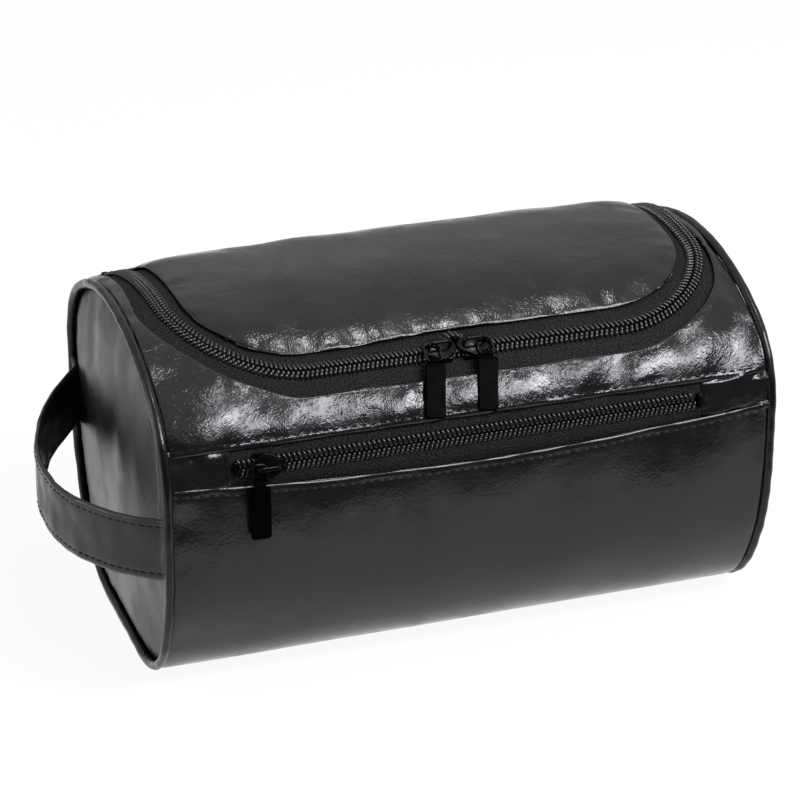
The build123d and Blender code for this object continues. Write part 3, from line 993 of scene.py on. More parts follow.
@dataclass
class Shell:
    """Leather of the lid, back, bottom and front, the yoke round the lid, and the pocket's end tabs.

    Attributes:
        outline: Cross-section of the bag.
        zip_line: Line of the main zip.
        half_body: Half the length of the wrap.
        lid_margin: From the zip line to the lid's edge.
        yoke_margin: From the zip line to the yoke's edge.
        back: Y of the fold at the back of the lid.
        window_low: Height of the pocket window's lower edge at the ends.
        window_high: Height of its upper edge.
        window_left: X of its left end.
        window_right: X of its right end.
        sag: How far the lower edge hangs down in the middle.
        thickness: Thickness of the leather.
        arm_cover: How much closer the leather's edges lie to the zip at its arms.
        front_cover: How much closer the lid's edge lies to the zip at the front left.
        step: Distance between a grid's lines.
        rear_step: The same round the bottom and the back.
        tab_rest: X of the hollow where the left pull tab lies when its slider is at the end.
        worn_across: Distances to its sides between which the hollow ends.
        worn_from: Places round the bag, from the pocket's window, between which it starts.
        worn_rise: How far the leather still stands out in it.
    """

    outline: Outline
    zip_line: ZipLine
    half_body: float = 118.0
    lid_margin: float = 8.9
    yoke_margin: float = 9.0
    back: float = 54.5
    window_low: float = 92.2
    window_high: float = 104.4
    window_left: float = -95.5
    window_right: float = 91.0
    sag: float = 5.6
    thickness: float = 0.9
    arm_cover: float = 2.2
    front_cover: float = 2.0
    step: float = 3.0
    rear_step: float = 4.0
    tab_rest: float = -60.0
    worn_across: tuple[float, float] = (6.5, 10.5)
    worn_from: tuple[float, float] = (-18.0, -12.0)
    worn_rise: float = 0.25

    def low_edge(self, x: Array) -> Array:
        """Height of the front panel's upper edge at x."""
        return self.window_low - self.sag * (1 - np.abs(x / self.half_body) ** 1.8)

    def lid_grid(self) -> Array:
        """Grid of the lid on the flat cloth: hinge to front, bounded by the zip line."""
        edge = self.zip_line.half(-self.lid_margin, self.back)
        turned = self.zip_line.straight + (self.zip_line.corner - self.lid_margin) * pi / 4
        share = turned / line_length(edge)
        front = resample(edge, np.linspace(0, share, 200))
        arm = resample(edge, np.linspace(1, share, 200))
        top = np.concatenate([front[::-1] * (-1, 1), front[1:]])
        flat_top, flat_right = (np.stack([e[:, 0], self.outline.at_y(e[:, 1])], -1) for e in (top, arm))
        width = line_length(flat_top)
        u = spread_lines(width, self.step) / width
        depth = line_length(flat_right)
        v = spread_lines(depth, self.step, close_start=False) / depth
        upper = resample(flat_top, u)
        right = resample(flat_right, v)
        left = right * (-1, 1)
        lower = left[0] + u[:, None] * (right[0] - left[0])
        a, b = u[:, None, None], v[None, :, None]
        corners = ((1 - a) * (1 - b) * left[0] + a * (1 - b) * right[0] + (1 - a) * b * left[-1]
                   + a * b * right[-1])
        grid = ((1 - b) * lower[:, None] + b * upper[:, None] + (1 - a) * left[None] + a * right[None]
                - corners)
        far, near_left = np.abs(grid[..., 0]) / right[0, 0], soft_step(-grid[..., 0], 5, 45)
        grid[..., 1] += self.front_cover * near_left * np.clip(grid[..., 1] / 48, 0, 1) ** 2
        grid[..., 0] += self.arm_cover * np.sign(grid[..., 0]) * np.clip(far, 0, 1) ** 4
        return grid

    def lid_edge(self, grid: Array) -> Array:
        """Line round the lid's free edge, from its left arm to its right."""
        return np.concatenate([grid[0], grid[1:, -1], grid[-1, -2::-1]])

    def wrap_grid(self, lid: Array) -> Array:
        """Grid of the front, bottom and back, whose columns meet the lid's at the fold."""
        inner = lid[:, 0, 0]
        gap = self.half_body - inner[-1]
        outer = inner[-1] + spread_lines(gap, self.step, close_start=False)[1:]
        x = np.concatenate([-outer[::-1], inner, outer])
        hinge = float(self.outline.at_y(np.array(self.back)))
        bottom = self.outline.half_length
        front = self.outline.at_height(self.low_edge(x))
        share = spread_lines(2 * bottom + hinge - 95.0, self.rear_step, close_start=False)
        share = share / share[-1]
        start = hinge + 2 * bottom
        s = start + share[None, :] * (front[:, None] - start)
        return np.stack([np.broadcast_to(x[:, None], s.shape), s], -1)

    def yoke_grid(self, margin: float, low: float) -> Array:
        """Grid of the band between the zip and the bag's ends and pocket, from the left arm to the right."""
        edge = ZipLine(self.outline, spread=0.0).half(margin, self.back - 0.3)
        inner = np.stack([edge[:, 0], self.outline.at_y(edge[:, 1])], -1)
        turned = self.zip_line.straight + (self.zip_line.corner + margin) * pi / 4
        bend = turned / line_length(inner)
        corner = np.array([self.half_body, float(self.outline.at_height(low))])
        straight = np.linspace(0, bend, 44)
        arm = np.linspace(bend, 1, 40)[1:]
        outer_front = np.stack([straight / bend * corner[0], np.full(44, corner[1])], -1)
        share = ((arm - bend) / (1 - bend))[:, None]
        outer_arm = corner + share * (np.array([self.half_body, inner[-1, 1]]) - corner)
        near = resample(inner, np.concatenate([straight, arm]))
        near[:, 0] -= self.arm_cover * soft_step(-near[:, 1], -45, 15)
        far = np.concatenate([outer_front, outer_arm])
        near = np.concatenate([near[::-1] * (-1, 1), near[1:]])
        far = np.concatenate([far[::-1] * (-1, 1), far[1:]])
        w = (spread_lines(24.0, 2.2) / 24.0)[None, :, None]
        return near[:, None] * (1 - w) + far[:, None] * w

    def calm(self, flat: Array) -> Array:
        """Share of the waves that each point keeps: none where the bag stands."""
        z = self.outline.place(flat[:, 0], flat[:, 1])[:, 2]
        return np.clip((z - 3) / 22, 0, 1)

    def end_line(self, side: int, start: float, end: float, count: int = 60) -> Array:
        """Line along one of the wrap's ends, between two places round the bag."""
        return np.stack([np.full(count, side * self.half_body), np.linspace(start, end, count)], -1)

    def side_seams(self, seed: int) -> list[Seam]:
        """Seams at the two pipings."""
        ends = []
        for side in (-1, 1):
            line = self.end_line(side, -90, 2 * self.outline.half_length - 60)
            ends.append(Seam(line, sink=0.7, reach=6.0, pucker=0.35, pitch=13.0, seed=seed + side))
        return ends

    def wrap(self) -> bpy.types.Object:
        """Leather of the lid, back, bottom and front in one piece."""
        lid, rest = self.lid_grid(), self.wrap_grid(self.lid_grid())
        low = np.stack([rest[:, -1, 0], rest[:, -1, 1]], -1)
        lid_flat, rest_flat = lid.reshape(-1, 2), rest.reshape(-1, 2)
        lid_edge = self.lid_edge(lid)
        waves = ripple(lid_flat[:, 0], lid_flat[:, 1], 38.0, 3)
        pillow = Seam(lid_edge, sink=1.7, reach=5.5, pucker=0.5, pitch=8.0, seed=11)
        tight = Seam(lid_edge, sink=0.0, reach=2.2, pucker=0.5, pitch=4.2, seed=15)
        lid_rise = pillow.rise(lid_flat) + tight.rise(lid_flat) + rolled(lid_flat, lid_edge, 0.9, 0.7)
        lid_rise = np.maximum(lid_rise + 1.7 + 0.35 * waves, -0.4)
        seams = [Seam(low, sink=0.2, reach=6.0, pucker=0.25, pitch=9.0, seed=21), *self.side_seams(31)]
        waves = ripple(rest_flat[:, 0], rest_flat[:, 1], 45.0, 5)
        rise = sum(seam.rise(rest_flat) for seam in seams) + 0.45 * waves
        rise = rise * self.calm(rest_flat) + rolled(rest_flat, low, 0.8, 0.5, 0.1) - 0.05
        for side in (-1, 1):
            rise = rise + rolled(rest_flat, self.end_line(side, -95, 420, 80), 1.0)
        points = np.concatenate([self.outline.place(lid_flat[:, 0], lid_flat[:, 1], lid_rise),
                                 self.outline.place(rest_flat[:, 0], rest_flat[:, 1], rise)])
        shift = len(lid_flat)
        faces = grid_faces(*lid.shape[:2])
        faces += [tuple(v + shift for v in face) for face in grid_faces(*rest.shape[:2])]
        flat = np.concatenate([lid_flat, rest_flat - (0, 2 * self.outline.half_length)])
        below = np.clip(rest_flat[:, 1] - 95, 0, None)
        crinkle = np.concatenate([np.full(len(lid_flat), 0.8), 0.2 + 0.5 * np.exp(-below / 12)])
        piece = mesh_object("leather_wrap", points, faces, flat, crinkle=crinkle)
        first = (rest.shape[0] - lid.shape[0]) // 2
        pairs = [(i * lid.shape[1], shift + (first + i) * rest.shape[1]) for i in range(lid.shape[0])]
        work = bmesh.new()
        work.from_mesh(piece.data)
        work.verts.ensure_lookup_table()
        target = {work.verts[b]: work.verts[a] for a, b in pairs}
        bmesh.ops.weld_verts(work, targetmap=target)
        work.to_mesh(piece.data)
        work.free()
        return thicken(piece, self.thickness, 1)

    def yoke(self) -> bpy.types.Object:
        """Leather band round the zip, above the pocket, worn hollow where the left tab comes to lie."""
        grid = self.yoke_grid(self.yoke_margin, self.window_high)
        flat = grid.reshape(-1, 2)
        upper = grid[:, 0]
        low_s = float(self.outline.at_height(self.window_high))
        low = np.array([[-self.half_body, low_s], [self.half_body, low_s]])
        seams = [Seam(upper, 0.6, 6.0, 0.45, 8.0, 41), Seam(low, 0.2, 7.0, 0.35, 9.0, 45),
                 *self.side_seams(47)]
        free = 1 - np.exp(-nearest(flat, upper)[0] / 3.5)
        free = free * (1 - 0.5 * np.exp(-nearest(flat, low)[0] / 3.0))
        folds = ripple(flat[:, 0] + 0.3 * flat[:, 1], 0.12 * flat[:, 1], 24.0, 9)
        rise = sum(seam.rise(flat) for seam in seams) + 0.9 + 0.3 * ripple(flat[:, 0], flat[:, 1], 26.0, 7)
        rise = rise + (0.7 + 0.3 * soft_step(flat[:, 0], 0, 50)) * folds * free
        worn = 1 - soft_step(np.abs(flat[:, 0] - self.tab_rest), *self.worn_across)
        worn = worn * soft_step(flat[:, 1] - low_s, *self.worn_from)
        rise = rise - worn * np.clip(rise - self.worn_rise, 0, None)
        rise = rise + rolled(flat, upper, 0.9, 0.8) + rolled(flat, low, 0.9, 1.0, 0.1)
        for side in (-1, 1):
            rise = rise + rolled(flat, self.end_line(side, -95, 95), 1.0, 1.0)
        points = self.outline.place(flat[:, 0], flat[:, 1], np.maximum(rise, -1.15))
        faces = grid_faces(*grid.shape[:2])
        piece = mesh_object("leather_yoke", points, faces, flat, crinkle=np.ones(len(flat)))
        return thicken(piece, self.thickness, 1)

    def end_tab(self, name: str, start: float, end: float, pucker: float, seed: int) -> bpy.types.Object:
        """Leather at one end of the pocket zip.

        Args:
            name: Name of the piece.
            start: X of its left edge.
            end: X of its right edge.
            pucker: Height of its puckers.
            seed: Which puckers.

        Returns:
            The piece.
        """
        x = start + spread_lines(end - start, 1.8)
        high = float(self.outline.at_height(self.window_high + 2.5))
        low = self.outline.at_height(self.low_edge(x) - 2.5)
        share = spread_lines(14.0, 1.8) / 14.0
        s = high + share[None, :] * (low[:, None] - high)
        flat = np.stack([np.broadcast_to(x[:, None], s.shape), s], -1).reshape(-1, 2)
        inner = start if abs(start) < abs(end) else end
        edge = np.array([[inner, v] for v in np.linspace(high, low.max(), 20)])
        rise = -0.45 + pucker * ripple(0.6 * flat[:, 0], flat[:, 1], 6.0, seed) + rolled(flat, edge, 0.6)
        points = self.outline.place(flat[:, 0], flat[:, 1], rise)
        faces = grid_faces(len(x), len(share))
        piece = mesh_object(name, points, faces, flat, crinkle=np.full(len(flat), 0.8))
        return thicken(piece, 0.8, 1)

    def build(self, palette: Palette) -> None:
        """Make every leather piece of the shell."""
        wrap = dress(self.wrap(), palette.gloss, "leather_gloss",
                     ("main_panel", "lid_panel", "body_padding", "front_padding", "lid_padding"))
        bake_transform(wrap)
        yoke = dress(self.yoke(), palette.gloss, "leather_gloss", ("front_yoke",), "bag")
        left = self.end_tab("pocket_tab_left", -self.half_body - 0.3, self.window_left, 0.35, 61)
        right = self.end_tab("pocket_tab_right", self.window_right, self.half_body + 0.3, 0.8, 63)
        for piece, node in ((left, "pocket_end_tab_left"), (right, "pocket_end_tab_right")):
            dress(piece, palette.gloss, "leather_gloss", (node,), "bag")


@dataclass
class Ends:
    """End panels, pipings and their seams.

    Attributes:
        outline: Cross-section of the bag.
        face: X of an end panel's outer face.
        inset: From the outline to an end panel's edge.
        piping_x: X of a piping's middle.
        piping_radius: Radius of a piping.
        piping_inset: From the outline to the piping's middle line.
        bulge: How far the padding pushes an end panel out.
        pleat: Step of the fold in the left panel beside its front seam.
    """

    outline: Outline
    face: float = 118.3
    inset: float = 1.6
    piping_x: float = 119.9
    piping_radius: float = 1.8
    piping_inset: float = 0.8
    bulge: float = 3.4
    pleat: float = 1.5

    def loop(self, inset: float, count: int) -> Array:
        """Closed outline moved in, as y and z."""
        s = np.linspace(-self.outline.half_length, self.outline.half_length, count, endpoint=False)
        return self.outline.place(np.full(count, self.outline.half_body), s, -inset)[:, 1:]

    def panel(self, side: int) -> bpy.types.Object:
        """End panel with soft upright folds below its upper seam."""
        count = 176
        rim = self.loop(self.inset, count)
        shares = np.concatenate([[0.04], np.linspace(0.1, 0.7, 16)[:-1], np.linspace(0.7, 0.94, 20),
                                 [0.965, 0.98, 0.992, 1.0]])
        spots = END_CENTRE + shares[:, None, None] * (rim - END_CENTRE)
        y, z = spots[..., 0], spots[..., 1]
        edge = (1 - shares[:, None]) * END_CENTRE[1]
        upper = np.clip((z - 40) / 95, 0, 1)
        fade = 1 - np.exp(-edge / 3.5)
        folds = ripple(y, 0.15 * z, 21.0, 71 + side) * upper ** 2 * 0.7 + 0.5 * ripple(y, z, 60.0, 75 + side)
        front = np.clip((y + 66) / 34, 0, 1)
        swell = self.bulge * (1 - np.exp(-edge / 15)) * soft_step(y, -66, -32)
        round_rim = np.arctan2(y, z - END_CENTRE[1]) * END_CENTRE[1]
        seam = 0.4 * ripple(round_rim, edge * 0.3, 8.0, 77 + side) * np.exp(-edge / 6)
        if side < 0:
            folded = soft_step(z, 58, 68) * soft_step(-z, -114, -96) * soft_step(-y, 10, 40)
            seam = seam + self.pleat * folded * soft_step(-edge, -13.5, -11.0)
        x = self.face - 0.9 * (1 - fade) + fade * (0.3 + folds * (0.3 + 0.7 * front)) + seam * fade + swell
        points = np.stack([side * x, y, z], -1).reshape(-1, 3)
        faces = ring_faces(len(shares), count, caps=False) + [tuple(range(count))]
        piece = mesh_object("end_panel_left" if side < 0 else "end_panel_right", points, faces)
        return thicken(face_along(piece, side), 1.0)

    def piping(self, side: int) -> bpy.types.Object:
        """Round piping round one end."""
        loop = self.loop(self.piping_inset, 260)
        path = np.column_stack([np.full(len(loop), side * self.piping_x), loop])
        points, faces = sweep(path, circle(self.piping_radius, 14), (1, 0, 0), closed=True)
        turn = np.arctan2(points[:, 1], points[:, 2] - END_CENTRE[1]) * self.outline.half_depth
        centre = np.repeat(path, 14, axis=0)
        share = 1 + 0.05 * ripple(turn, points[:, 0], 11.0, 81 + side)
        points = centre + (points - centre) * share[:, None]
        return outward(mesh_object("piping_left" if side < 0 else "piping_right", points, faces))

    def build(self, palette: Palette) -> None:
        """Make both ends."""
        for side, word in ((-1, "left"), (1, "right")):
            panel = dress(self.panel(side), palette.satin, "leather_satin",
                          (f"{word}_end_panel", f"{word}_end_padding"), "bag")
            dress(self.piping(side), palette.piping, "leather_piping", (f"{word}_piping",), "bag")


@dataclass
class Handle:
    """Carry strap bowed out from the left end, with a line of stitches along each edge.

    Attributes:
        outline: Cross-section of the bag.
        root_x: X of the strap's middle where it is sewn down.
        front_seat: Sewn length at the front.
        rear_seat: Sewn length at the back.
        bow: Reach of the bow that sets its bends.
        root_radius: Radius of the bends at its roots.
        width: Width of the strap.
        thick: Thickness of the strap.
        z: Height of its middle in the solids.
        lifts: How much higher the soft strap is held, at the front, in the middle and at the back.
        stitch_edge: From the strap's edge to its stitches.
        stitch_pitch: From one stitch to the next.
    """

    outline: Outline
    root_x: float = -119.6
    front_seat: float = 3.0
    rear_seat: float = 5.4
    bow: float = 30.0
    root_radius: float = 6.0
    width: float = 25.0
    thick: float = 2.4
    z: float = 57.0
    lifts: tuple[float, float, float] = (10.5, 5.6, 17.0)
    stitch_edge: float = 2.8
    stitch_pitch: float = 3.6

    def path(self) -> Array:
        """Middle line of the strap seen from above, from the front to the back."""
        half = (2 * self.outline.half_depth - self.front_seat - self.rear_seat) / 2
        turn = 2 * np.degrees(atan2(self.bow, half))
        radius = half / sin(radians(turn)) - self.root_radius
        bend = self.root_radius * radians(turn)
        return trail((self.root_x, 1.5 - self.outline.half_depth), 90.0,
                     [(self.front_seat - 1.5, 0.0), (bend, turn), (2 * radius * radians(turn), -2 * turn),
                      (bend, turn), (self.rear_seat - 1.5, 0.0)], 1.2)

    def lift(self, y: Array) -> Array:
        """How much higher the strap runs than its solid at y."""
        share = np.clip(y / self.outline.half_depth / 2 + 0.5, 0, 1)
        front, middle, back = self.lifts
        return front + (4 * middle - 3 * front - back) * share + 2 * (front + back - 2 * middle) * share ** 2

    def strap(self) -> bpy.types.Object:
        """The strap: two folded layers, thinner at the seams."""
        line = self.path()
        path = np.column_stack([line, np.full(len(line), self.z)])
        upright = np.linspace(-1, 1, 26)
        edge = (1 - np.abs(upright)) * self.width / 2
        groove = 0.22 * np.exp(-((edge - self.stitch_edge) / 0.7) ** 2)
        profile = self.thick / 2 * (1 - 0.28 * np.exp(-edge / 1.2) - groove)
        profile[[0, -1]] *= 0.45
        section = np.concatenate([np.stack([upright * self.width / 2, profile], -1),
                                  np.stack([upright * self.width / 2, -profile], -1)[::-1]])
        points, faces = sweep(path, section, (0, 0, 1))
        points[:, 2] += 0.35 * ripple(points[:, 1], points[:, 1] * 0.2, 40.0, 91) + self.lift(points[:, 1])
        points[:, 0] += 0.22 * ripple(points[:, 1], points[:, 2], 13.0, 93)
        return outward(mesh_object("carry_strap", points, faces))

    def stitches(self, material: bpy.types.Material) -> bpy.types.Object:
        """Stitches along both edges, on both faces."""
        line = self.path()
        marks = np.arange(3.0, line_length(line) - 3.0, self.stitch_pitch) / line_length(line)
        here, ahead = resample(line, marks), resample(line, np.minimum(marks + 0.004, 1))
        heading = unit(ahead - here)
        beside = np.stack([heading[:, 1], -heading[:, 0]], -1)
        spots, ways, outs = [], [], []
        for face in (-1, 1):
            for level in (-1, 1):
                z = self.z + level * (self.width / 2 - self.stitch_edge) + self.lift(here[:, 1])
                shift = here + face * beside * (self.thick / 2 * 0.82)
                spots.append(np.column_stack([shift, z]))
                ways.append(np.column_stack([heading, np.zeros(len(here))]))
                outs.append(np.column_stack([face * beside, np.zeros(len(here))]))
        places, headings, out = map(np.concatenate, (spots, ways, outs))
        places, _ = laid_on([bpy.data.objects["carry_strap"]], places, out, 0.0)
        return capsule(2.5, 0.65, 0.6).along("strap_stitches", places, headings, out, material)

    def build(self, palette: Palette) -> None:
        """Make the strap and its stitches."""
        strap = dress(self.strap(), palette.strap, "leather_satin", ("handle_strap",), "bag")
        dress(self.stitches(palette.thread), palette.thread, "leather_satin", (), "bag")


@dataclass
class ZipChain:
    """Tapes, coils, thread and stops of the main zip and of the pocket zip.

    Attributes:
        outline: Cross-section of the bag.
        zip_line: Line of the main zip.
        shell: The leather, whose edges the tapes run under.
        pitch: Distance between teeth.
        tape_depth: From the outline to the tape's face.
        pocket_z: Height of the pocket zip.
        arch_x: Middle of the stretch where the lid's coil is pulled away between the two sliders.
        arch_reach: Half the length of that stretch.
        arch_back: How far the coil is pulled back there.
        arch_up: How far it is lifted there.
        tape_thick: Thickness of the tapes.
    """

    outline: Outline
    zip_line: ZipLine
    shell: Shell
    pitch: float = 1.92
    tape_depth: float = 1.25
    pocket_z: float = 97.5
    arch_x: float = -2.35
    arch_reach: float = 10.0
    arch_back: float = 4.6
    arch_up: float = 1.8
    tape_thick: float = 0.45

    def arch(self, flat: Array) -> Array:
        """Share of the arch at each flat point, on the front run."""
        near = 1 - soft_step(np.abs(flat[:, 0] - self.arch_x), 0, self.arch_reach)
        return np.where(flat[:, 1] > 30, near, 0.0)

    def tooth(self, side: int) -> Repeat:
        """One turn of a nylon coil, from its root on the tape over to its head, across the slit."""
        dip = 0.0 if side > 0 else 0.34
        across = side * np.array([3.3, 3.15, 2.8, 2.3, 1.85, 1.5, 1.1, 0.72, 0.45, 0.32])
        level = np.array([0.0, 0.5, 0.92, 1.1, 1.14, 1.14, 1.2, 1.12, 0.7, 0.1])
        level[4:7] -= np.array([0.8, 1.6, 0.3]) * dip
        slant = np.array([-0.7, -0.66, -0.5, -0.28, -0.08, 0.06, 0.2, 0.32, 0.4, 0.42])
        half = np.array([0.52, 0.62, 0.66, 0.67, 0.65, 0.63, 0.66, 0.67, 0.62, 0.52])
        path = np.stack([slant, across, level], -1)
        tangent = unit(np.gradient(path, axis=0))
        beside = unit(np.cross(tangent, (1.0, 0.0, 0.0)))
        section = half[:, None, None] * circle(1.0, 8)
        rings = path[:, None] + section[..., :1] * (1.0, 0, 0) + 0.72 * section[..., 1:] * beside[:, None]
        return Repeat(rings.reshape(-1, 3), ring_faces(len(path), 8))

    def tape(self, name: str, near: Array, far: Array, lift: float = 0.0) -> bpy.types.Object:
        """Woven tape between two lines on the flat cloth, facing out.

        Args:
            name: Name of the piece.
            near: Its edge beside the slit.
            far: Its edge under the leather.
            lift: How far it is lifted in the arch.

        Returns:
            The piece.
        """
        count = max(60, round(line_length(near) / 1.6))
        a, b = (resample(line, np.linspace(0, 1, count)) for line in (near, far))
        share = np.linspace(0, 1, 10)[None, :, None]
        grid = a[:, None] * (1 - share) + b[:, None] * share
        flat = grid.reshape(-1, 2)
        under = np.broadcast_to(share.ravel()[None, :], grid.shape[:2]).ravel()
        rise = -self.tape_depth - 0.9 * under ** 1.5 + 0.12 * ripple(flat[:, 0], flat[:, 1], 16.0, 101)
        if lift:
            width = np.linalg.norm(b - a, axis=1).mean()
            away = np.clip(1 - share.ravel()[None, :] * width / 9.0, 0, 1)
            pull = self.arch(flat) * np.broadcast_to(away, grid.shape[:2]).ravel()
            rise = rise + lift * pull
            flat = flat - np.stack([np.zeros(len(pull)), pull * self.arch_back], -1)
        start, cross = a[1] - a[0], b[0] - a[0]
        flip = start[0] * cross[1] - start[1] * cross[0] < 0
        faces = grid_faces(count, 10, flip)
        points = self.outline.place(flat[:, 0], flat[:, 1], rise)
        return thicken(mesh_object(name, points, faces, grid.reshape(-1, 2)), self.tape_thick)

    def coil(self, name: str, cord: Cord, side: int, start: float, palette: Palette,
             arched: bool = False) -> tuple[bpy.types.Object, bpy.types.Object]:
        """Row of teeth on one side of a chain, with the thread that holds it.

        Args:
            name: Name of the teeth.
            cord: Line of the slit.
            side: 1 for the lid's or upper side, -1 for the other.
            start: Distance of the first tooth from the line's start.
            palette: Every material.
            arched: Whether the row is pulled away between the two sliders.

        Returns:
            The teeth and the thread.
        """
        spots, heading, out, flat = cord.spots(self.pitch, start)
        cross = np.cross(out, heading)
        if arched:
            spots = spots + self.arch(flat)[:, None] * (self.arch_back * cross + self.arch_up * out)
        teeth = self.tooth(side).along(name, spots, heading, out, palette.coil)
        hold = spots + side * 1.55 * cross + (1.1 if side > 0 else 0.95) * out
        bar = capsule(1.8, 0.42, 0.36, 6, 4)
        return teeth, bar.along(f"{name}_thread", hold, heading, out, palette.thread, 0.1)

    def stop(self, seat: Array, width: float, length: float, levels: Sequence[float]) -> tuple[Array, list]:
        """Clamped metal stop with rounded edges.

        Args:
            seat: Matrix of its frame.
            width: Size along the frame's X.
            length: Size along its Y.
            levels: Heights of its underside, its rim, the round of its edge and its top.

        Returns:
            Points and faces of the stop.
        """
        rings = []
        for level, inset in zip(levels, (0.0, 0.0, 0.12, 0.35)):
            ring = rounded_box(width - 2 * inset, length - 2 * inset, 0.5 - 0.5 * inset)
            rings.append(np.column_stack([ring, np.full(len(ring), level)]))
        return moved(np.concatenate(rings), seat), ring_faces(len(rings), len(rings[0]))

    def main_stops(self) -> list[tuple[Array, list]]:
        """Stops at the ends of the two arms."""
        end = self.zip_line.half(1.6, 54.0)[-1]
        s = float(self.outline.at_y(np.array(end[1] - 1.2)))
        seats = [self.outline.seat(side * end[0], s, 0.2) for side in (-1, 1)]
        return [self.stop(seat, 2.6, 1.7, (-1.0, 0.75, 1.0, 1.12)) for seat in seats]

    def build(self, palette: Palette) -> None:
        """Make both zips."""
        whole = self.zip_line.whole
        lid_tape = self.tape("zip_tape_lid", whole(-0.5), whole(-13.8), 0.9 * self.arch_up)
        body_tape = self.tape("zip_tape_body", whole(0.5), ZipLine(self.outline, spread=0.6).whole(13.0))
        dress(lid_tape, palette.tape, "zip_tape", ("main_tape_lid",), "lid")
        dress(body_tape, palette.tape, "zip_tape", ("main_tape_body",), "bag")
        for piece, offset in ((lid_tape, -7), (body_tape, 7)):
            length = line_length(whole(offset)) * MM
        chain = Cord(self.outline, whole(0.0, 51.5), -self.tape_depth)
        lid_coil = self.coil("zip_coil_lid", chain, 1, 0.6, palette, arched=True)
        body_coil = self.coil("zip_coil_body", chain, -1, 0.6 + self.pitch / 2, palette)
        for pair, node, body in ((lid_coil, "main_coil_lid", "lid"), (body_coil, "main_coil_body", "bag")):
            dress(pair[0], palette.coil, "zip_coil", (node,), body)
            dress(pair[1], palette.thread, "zip_tape", (), body)
        points, faces = joined(self.main_stops())
        dress(outward(mesh_object("zip_stops_main", points, faces)), palette.enamel, "black_metal",
              ("main_zip_stops",), "bag")
        self.pocket(palette)

    def pocket(self, palette: Palette) -> None:
        """Make the pocket's zip."""
        shell = self.shell
        left, right = shell.window_left, shell.window_right
        middle = float(self.outline.at_height(self.pocket_z))
        x = np.linspace(left - 4, right + 4, 80)
        run = np.stack([x, np.full(80, middle)], -1)
        high = np.full(80, float(self.outline.at_height(shell.window_high + 3.2)))
        low = self.outline.at_height(shell.low_edge(x) - 3.2)
        upper = self.tape("zip_tape_pocket_upper", run - (0, 0.5), np.stack([x, high], -1))
        lower = self.tape("zip_tape_pocket_lower", run + (0, 0.5), np.stack([x, low], -1))
        for piece, node, width in ((upper, "pocket_tape_upper", 0.0103),
                                   (lower, "pocket_tape_lower", 0.0125)):
            dress(piece, palette.tape, "zip_tape", (node,), "bag")
        chain = np.stack([np.linspace(left + 3, right - 3, 60), np.full(60, middle)], -1)
        cord = Cord(self.outline, chain, -self.tape_depth)
        upper_coil = self.coil("zip_coil_pocket_upper", cord, 1, 0.2, palette)
        lower_coil = self.coil("zip_coil_pocket_lower", cord, -1, 0.2 + self.pitch / 2, palette)
        for pair, node in ((upper_coil, "pocket_coil_upper"), (lower_coil, "pocket_coil_lower")):
            dress(pair[0], palette.coil, "zip_coil", (node,), "bag")
            dress(pair[1], palette.thread, "zip_tape", (), "bag")
        seats = [self.outline.seat(spot, middle, 0.0) for spot in (left + 1.6, right - 1.6)]
        points, faces = joined([self.stop(seat, 1.5, 5.6, (-1.3, 0.6, 0.85, 0.95)) for seat in seats])
        dress(outward(mesh_object("zip_stops_pocket", points, faces)), palette.enamel, "black_metal",
              ("pocket_zip_stops",), "bag")


